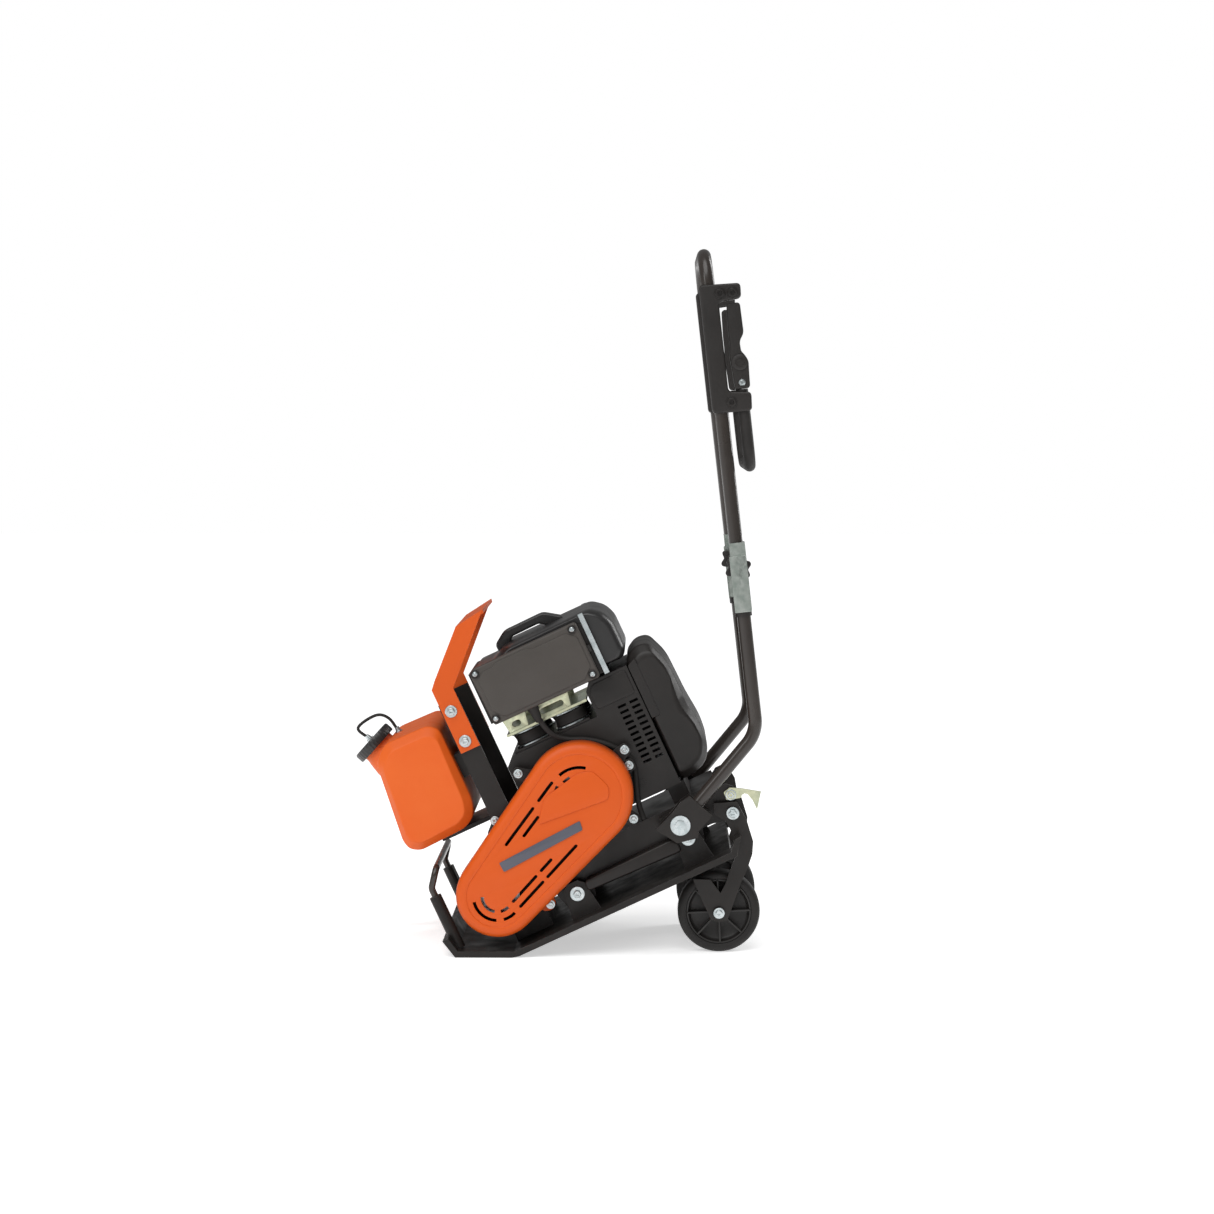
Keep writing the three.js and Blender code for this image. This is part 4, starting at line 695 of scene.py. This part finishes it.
for name, side in SIDES:
    bracket = plate(f"grip_clasp_{name}", rounded(leg_outline(CLASP), 7),
                    *span(side, LEG_Y - CLASP_HALF, LEG_Y + CLASP_HALF), (), 3.2, 4)
    finished(bracket, "handle_top", GRIP, (f"grip_bracket_{name}",))
    link = plate(f"grip_arm_{name}", rounded(leg_outline(ARM), 6),
                 *span(side, LEG_Y - ARM_HALF, LEG_Y + ARM_HALF), (), 2.0, 3)
    head_at = leg_outline([(589, 37)])[0]
    head = turned(f"grip_head_{name}", ARM_HEAD, spot(head_at[0], side * (LEG_Y + 10.8), head_at[1]),
                  side * Y_WAY, 48)
    finished(joined(f"grip_link_{name}_arm", [link, head]), "grip", GRIP,
             (f"grip_link_{name}",))
    face = plate(f"sleeve_face_{name}", rounded(leg_outline(SLEEVE), 2),
                 *span(side, LEG_Y + 13.8, LEG_Y + 15.4), (), 0.5, 2)
    finished(face, "handle_base", GALVANISED)
    fold_at = Vector(ELBOW) + LEG_WAY * FOLD
    star = []
    for step in range(STAR_STEPS):
        angle = 2 * math.pi * step / STAR_STEPS
        reach = STAR_RADIUS + STAR_LOBE * math.cos(STAR_POINTS * angle)
        star.append((fold_at.x + reach * math.cos(angle), fold_at.y + reach * math.sin(angle)))
    knob = plate(f"knob_{name}_star", star, *span(side, LEG_Y - 29.1, LEG_Y - 14.1), (), 2.4, 4)
    boss = turned(f"knob_{name}_boss", [(0, 0), (11, 0), (11, 3), (9, 4.4), (0, 4.4)],
                  spot(fold_at.x, side * (LEG_Y - 29), fold_at.y), -side * Y_WAY, 40)
    finished(joined(f"fold_knob_{name}_star", [knob, boss]), f"knob_{name}", GRIP,
             (f"fold_knob_{name}",))

rod = tube("lift_rod", [spot(-80, -140, 85), spot(-80, -140, 154), spot(-60, -140, 180), spot(-60, 140, 180),
                        spot(-80, 140, 154), spot(-80, 140, 85)], 5.5, 13, 10)
finished(rod, "chassis", TUBE, ("lift_handle",))

CABLE = [(191, -122, 348.5), (192, -121, 330), (196, -118, 308), (205, -115, 290), (221, -112, 277),
         (244, -110, 266), (264, -109, 252), (280, -108, 236), (294, -107, 216), (298, -107, 196),
         (293, -107, 175), (286, -107, 156), (280, -106.5, 138), (277, -106, 122), (276, -106, 106.3)]
cable = tube("cable", smooth_way([spot(*p) for p in CABLE]), 4.5, None, 8)
finished(cable, "chassis", RUBBER, ("power_cable",))
gland = turned("cable_gland", [(4.6, 0), (9.5, 0), (9.5, 5), (8, 7), (8, 11), (6, 22), (5, 26), (4.6, 26)],
               spot(191, -122, 350), -V_WAY, 28)
finished(gland, "chassis", RUBBER)

# ------------------------------------------------------------ wheels

TYRE_PROFILE = [(52, 4), (53, 1.2), (55, 0.3), (59, 0), (63, 1.6), (65.8, 5), (WHEEL_RADIUS, 9),
                (WHEEL_RADIUS, 26), (65.8, 30), (63, 33.4), (59, 35), (55, 34.7), (53, 33.8), (52, 31),
                (52, 4)]
HUB_PROFILE = [(7, 0.5), (13, 0.5), (14.5, 2), (15, 10), (17, 12), (44, 12), (48, 9), (49.5, 3),
               (51.9, 2.4), (51.9, 32.6), (49.5, 32), (48, 26), (44, 23), (17, 23), (15, 25),
               (14.5, 33), (13, 34.5), (7, 34.5), (7, 0.5)]
RIB_START = 13
RIB_END = 49
RIB_SEAT = 6.5
RIB_HALF = 5.8


def wheel(name, side, body):
    """A smooth tyre round a moulded hub: a deep dish on each side, crossed by eight ribs."""
    face = side * WHEEL_FACE
    centre = spot(WHEEL[0], face, WHEEL[1])
    inward = -side * Y_WAY
    tyre = turned(f"{name}_tyre", TYRE_PROFILE, centre, inward, 96)
    hub = turned(f"{name}_hub", HUB_PROFILE, centre, inward, 96)
    ribs = []
    for middle in (face - side * RIB_SEAT, face - side * (WHEEL_WIDTH - RIB_SEAT)):
        for rib in range(8):
            angle = math.pi / 8 + rib * math.pi / 4
            a = (WHEEL[0] + RIB_START * math.cos(angle), WHEEL[1] + RIB_START * math.sin(angle))
            b = (WHEEL[0] + RIB_END * math.cos(angle), WHEEL[1] + RIB_END * math.sin(angle))
            ribs.append(plate(f"{name}_rib", slot_between(a, b, 1.5, 4), middle - RIB_HALF,
                              middle + RIB_HALF, (), 0.5, 2))
    finished(joined(f"{name}_tread", [tyre]), body, TYRE, (name,))
    finished(joined(f"{name}_web", [hub, *ribs]), body, HUB)


wheel("wheel_left", -1, "left_wheel")
wheel("wheel_right", 1, "right_wheel")
for name, side in SIDES:
    bolt(f"axle_bolt_{name}", spot(WHEEL[0], side * 138, WHEEL[1]), side * Y_WAY, "wheel_carrier", 5.5, 4.6,
         9, socket=True)

# ------------------------------------------------------------ water tank

TANK = [(-73, 214), (8, 217), (28, 228), (38, 254), (38, 381), (23, 394), (-53, 396), (-78, 373),
        (-93, 240), (-89, 224)]


def inset_outline(points, amount):
    """The outline drawn in by an amount."""
    middle = Vector((sum(p[0] for p in points) / len(points), sum(p[1] for p in points) / len(points)))
    out = []
    for u, v in points:
        away = Vector((u, v)) - middle
        out.append(tuple(middle + away * (1 - amount / away.length)))
    return out


def shell(name, outline, layers, corner, steps=6):
    """A closed shell, alike on both sides. A layer is how far the outline draws in, and how far out it is."""
    bm = bmesh.new()
    rings = []
    for side in (-1, 1):
        for inset, depth in (layers[::-1] if side < 0 else layers):
            loop = rounded(inset_outline(outline, inset), corner, steps)
            rings.append([bm.verts.new(spot(u, side * depth, v)) for u, v in loop])
    skinned(bm, rings)
    bm.faces.new(rings[0])
    bm.faces.new(rings[-1])
    obj = mesh_piece(name, bm)
    smoothed(obj, 42)
    crisp = obj.modifiers.new("crisp", "WEIGHTED_NORMAL")
    crisp.keep_sharp = True
    return obj


def water_tank():
    """A blow-moulded tank: sides that step in by a broad chamfer to a flat face, with every edge round."""
    body = shell("tank_shell", TANK, [(0, 104), (0, 113), (0.6, 115.2), (2.2, 117), (13.2, 127.2),
                                      (14.8, 128.4), (17, 128.9)], 13)
    neck = turned("tank_neck", [(35, -64), (34, -40), (31, -22), (29, -14), (29, -2.3), (24, -2.3)],
                  CAP_PLACE, CAP_WAY, 48)
    return finished(joined("tank", [body, neck]), "tank", TANK_ORANGE, ("water_tank",))


water_tank()

CAP_PROFILE = ((30, -8, 0), (36.4, -8, 0), (37.4, -6.6, 0.8), (37.4, 5, 0.8), (36, 7.4, 0.2), (34, 8, 0),
               (29, 8, 0), (27, 6.6, 0), (3, 6.2, 0))  # radius, height, depth of the flutes
CAP_FLUTES = 36
CAP_STEPS = 144


def filler_cap():
    """A screw cap with a knurled skirt and a shallow dished top."""
    bm = bmesh.new()
    turn = Vector((0, 0, 1)).rotation_difference(CAP_WAY).to_matrix()
    rings = []
    for radius, height, depth in CAP_PROFILE:
        ring = []
        for step in range(CAP_STEPS):
            angle = 2 * math.pi * step / CAP_STEPS
            reach = radius - depth * (0.5 + 0.5 * math.cos(CAP_FLUTES * angle))
            local = Vector((reach * math.cos(angle), reach * math.sin(angle), height)) / 1000
            ring.append(bm.verts.new(CAP_PLACE + turn @ local))
        rings.append(ring)
    skinned(bm, rings)
    bm.faces.new(rings[-1])
    cap = mesh_piece("cap", bm)
    smoothed(cap, 40)
    return finished(cap, "cap", PACK, ("tank_cap",))


filler_cap()

TETHER_SEAT = 0.0083  # metres out from the cap's middle
TETHER_RISE = 0.036
start = CAP_PLACE + CAP_WAY * TETHER_SEAT
rise = CAP_PLACE + CAP_WAY * TETHER_RISE
tether = tube("tether", smooth_way([start, rise, spot(-62, 0, 437), spot(-44, 0, 424),
                                    spot(-38, 0, 396.3)]), 2.5, None, 8)
finished(tether, "tank", RUBBER, ("cap_tether",))
for index, (foot, way) in enumerate(((start, CAP_WAY), (spot(-38, 0, 395.5), V_WAY))):
    ferrule = turned(f"tether_ferrule_{index}",
                     [(2.6, 0), (6.5, 0), (6.5, 2), (4.4, 3), (3.6, 9), (2.6, 9.6)], foot, way, 28)
    finished(ferrule, "tank", ZINC)

# ------------------------------------------------------------ motor cover and battery

REAR_COVER = [(355.6, 136), (382, 138), (405, 147), (420, 170), (423.5, 205), (419, 250), (417, 326),
              (402, 364), (380, 368), (355.6, 354)]
cover = shell("rear_cover", REAR_COVER, [(0, 80), (0.8, 84), (2.4, 86.4), (12.4, 97.4), (14, 98.8),
                                         (17, 99.6), (24, 101.8)], 15)
ledge = shell("cover_ledge", [(357, 250), (372, 250), (372, 352), (357, 345)], [(0, 101.6), (1, 103)], 3, 3)
finished(joined("motor_cover_shell", [cover, ledge]), "chassis", CASE, ("motor_rear_cover",))
for name, side in SIDES:
    hood_outline = rounded([(283, 300), (350, 300), (350, 341), (292, 341), (283, 332)], 6)
    hood = plate(f"hood_rib_{name}", hood_outline, *span(side, 99, 101.6), (), 1.0, 3)
    finished(hood, "chassis", CASE)
    mark = turned(f"case_mark_{name}", [(5.4, -0.4), (5.4, 0.7), (4.4, 0.7), (4.2, -0.2), (0, -0.2)],
                  spot(300, side * 100, 162), side * Y_WAY, 32)
    finished(mark, "chassis", CASE)

BATTERY = [(124.7, 358.4), (356, 358.4), (366, 372), (366, 420), (357, 440), (338, 455), (184, 455),
           (164, 444), (130, 444), (124.7, 438)]
pack = shell("battery_shell", BATTERY, [(0, 84), (1.5, 93), (5, 100), (9, 104), (13, 105.3)], 9)
strap_outline = rounded([(171, 441), (169, 460), (191, 475), (262, 476), (291, 456), (291, 444)], 7)
strap_window = rounded([(188, 443), (199, 461), (251, 462), (269, 446)], 6)
handle = plate("battery_handle", strap_outline, -16, 16, [strap_window], 3.2, 4)
finished(joined("battery_case", [pack, handle]), "battery", PACK, ("battery_pack",))

# ------------------------------------------------------------ isolators

ISOLATOR = [(0, 3), (27, 3), (28.6, 4.6), (27.4, 8), (26.8, 12.4), (27.4, 17), (28.6, 20.2), (27, 21.8),
            (0, 21.8)]

for name, side in SIDES:
    for index, u in (("front", 167), ("rear", 237)):
        centre = spot(u, side * 66, 294.6)
        body = turned(f"isolator_{index}_{name}_rubber", ISOLATOR, centre, V_WAY, 56)
        finished(body, "chassis", RUBBER, (f"isolator_{index}_{name}",))
        for end, height in (("low", 0.1), ("high", 21.9)):
            profile = [(0, height), (30.6, height), (31.4, height + 0.8), (31.4, height + 2),
                       (30.6, height + 2.8), (0, height + 2.8)]
            disc = turned(f"isolator_{index}_{name}_{end}", profile, centre, V_WAY, 56)
            finished(disc, "chassis", ZINC)

bracket_ribs = []
for name, side in SIDES:
    for tab, (front, rear) in enumerate(((138, 170), (188, 246))):
        window = slot_between((front + 13, 335), (rear - 13, 335), 4.5)
        outline = rounded([(front, 322), (rear, 322), (rear + 5, 348), (front - 4, 348)], 3)
        rib = plate(f"bracket_rib_{name}_{tab}", outline, *span(side, 90, 95), [window], 0.5, 2)
        bracket_ribs.append(rib)
deck_outline = rounded([(131, 320), (273, 320), (273, 324), (131, 324)], 0.8)
bracket_ribs.append(plate("bracket_deck", deck_outline, -98, 98))
finished(joined("cradle_bracket_plate", bracket_ribs), "chassis", YELLOW_ZINC,
         ("cradle_bracket",))

# ------------------------------------------------------------ control box

box_outline = rounded([(124, 349.5), (311.5, 349.5), (311.5, 446.5), (130, 446.5), (122.5, 438)], 5)
lid = plate("control_box", box_outline, -PANEL_FACE, -112.6, (), 3.0, 4)
field_outline = rounded([(146, 356), (288, 356), (305, 372), (305, 424), (290, 436), (232, 436),
                         (224, 441), (168, 441), (160, 436), (140, 436), (131, 426), (131, 372)], 5)
field = plate("control_field", field_outline, -PANEL_FACE - 1.6, -PANEL_FACE + 1, (), 1.2, 3)
finished(joined("control_box_shell", [lid, field]), "chassis", PANEL, ("control_panel",))
for index, (u, v) in enumerate(((130.5, 358.5), (302, 358.5), (130.5, 438), (302, 438))):
    boss = turned(f"box_boss_{index}", [(0, -2), (7, -2), (7, 2.2), (6.2, 3), (4.6, 3), (4.4, 2.2), (0, 2.2)],
                  spot(u, -PANEL_FACE, v), -Y_WAY, 32)
    finished(boss, "chassis", CASE)
    bolt(f"box_screw_{index}", spot(u, -PANEL_FACE - 1.4, v), -Y_WAY, "chassis", 3.4, 3.0, 4.3, socket=True)

# ------------------------------------------------------------ bolts that show

for index, (u, v) in enumerate(((69, 346), (69, 399))):
    for name, side in SIDES:
        bolt(f"bail_bolt_{index}_{name}", spot(u, side * BAIL_FACE, v), side * Y_WAY, "chassis",
             6.5, 6.0, 10)
for index, (u, v) in enumerate(((129, 46), (329, 53))):
    for name, side in SIDES:
        bolt(f"mount_bolt_{index}_{name}", spot(u, side * LUG_FACE, v), side * Y_WAY, "chassis",
             6.5, 6.0, 12)
for name, side in SIDES:
    bolt(f"ear_bolt_{name}", spot(411.4, side * EAR_FACE, 60.3), side * Y_WAY, "chassis", 7, 6.0, 10.5)
    bolt(f"link_bolt_{name}", on_leg(side * (LEG_Y + ARM_HALF), 557, 37), side * Y_WAY, "grip",
         4, 3.2, 5.4, socket=True)
bolt("latch_bolt", spot(420.5, -122.4, 86.7), -Y_WAY, "latch", 6, 4.2, 9)
for name, side in SIDES:
    for index, (distance, offset) in enumerate(((700, 17), (699, 37), (528, 17))):
        bolt(f"grip_screw_{name}_{index}", on_leg(side * (LEG_Y + CLASP_HALF), distance, offset),
             side * Y_WAY, "handle_top", 7, 3.4, 9, CASE, "case_black", socket=True)

# ------------------------------------------------------------ floor and light

SURROUND_LIGHT = 0.24  # what the white surround gives to the object; the camera sees it as plain white
FLOOR_GLOW = 0.5
SUN_POWER = 1.85
SUN_SPREAD = math.radians(55)

floor_mesh = bpy.data.meshes.new("floor")
floor_mesh.from_pydata([(-12, -8, 0), (12, -8, 0), (12, 14, 0), (-12, 14, 0)], [], [(0, 1, 2, 3)])
floor = bpy.data.objects.new("floor", floor_mesh)
bpy.context.scene.collection.objects.link(floor)
white, floor_tree, floor_surface = shader("floor_white", (0.93, 0.93, 0.93), 0.55, spec=0.3)
tint = blend_color(floor_tree, noise(floor_tree, 2), (0.93, 0.93, 0.93), (0.95, 0.95, 0.95))
floor_tree.links.new(tint, floor_surface.inputs["Base Color"])
floor_surface.inputs["Emission Color"].default_value = (1, 1, 1, 1)
floor_surface.inputs["Emission Strength"].default_value = FLOOR_GLOW
dress(floor, white)

world = bpy.data.worlds.new("studio")
world.use_nodes = True
surround = world.node_tree.nodes["Background"]
surround.inputs["Color"].default_value = (1, 1, 1, 1)
path = world.node_tree.nodes.new("ShaderNodeLightPath")
world.node_tree.links.new(ramp(world.node_tree, path.outputs["Is Camera Ray"], SURROUND_LIGHT, 1.0, 0, 1),
                          surround.inputs["Strength"])
bpy.context.scene.world = world
bpy.context.scene.view_settings.view_transform = "Standard"


def softbox(name, place, aim, size, power):
    light = bpy.data.lights.new(name, "AREA")
    light.shape, light.size, light.size_y = "RECTANGLE", *size
    light.energy = power
    obj = bpy.data.objects.new(name, light)
    obj.location = place
    obj.rotation_euler = (Vector(aim) - Vector(place)).to_track_quat("-Z", "Y").to_euler()
    bpy.context.scene.collection.objects.link(obj)


sun = bpy.data.lights.new("sun", "SUN")
sun.energy = SUN_POWER
sun.angle = SUN_SPREAD
sun_obj = bpy.data.objects.new("sun", sun)
sun_obj.rotation_euler = (math.radians(30), math.radians(-12), 0)
bpy.context.scene.collection.objects.link(sun_obj)
softbox("key", (-1.9, -2.2, 1.9), (0, 0, 0.35), (0.7, 1.6), 15)
softbox("rim", (1.9, 1.2, 1.6), (0.1, 0, 0.5), (0.5, 1.8), 22)
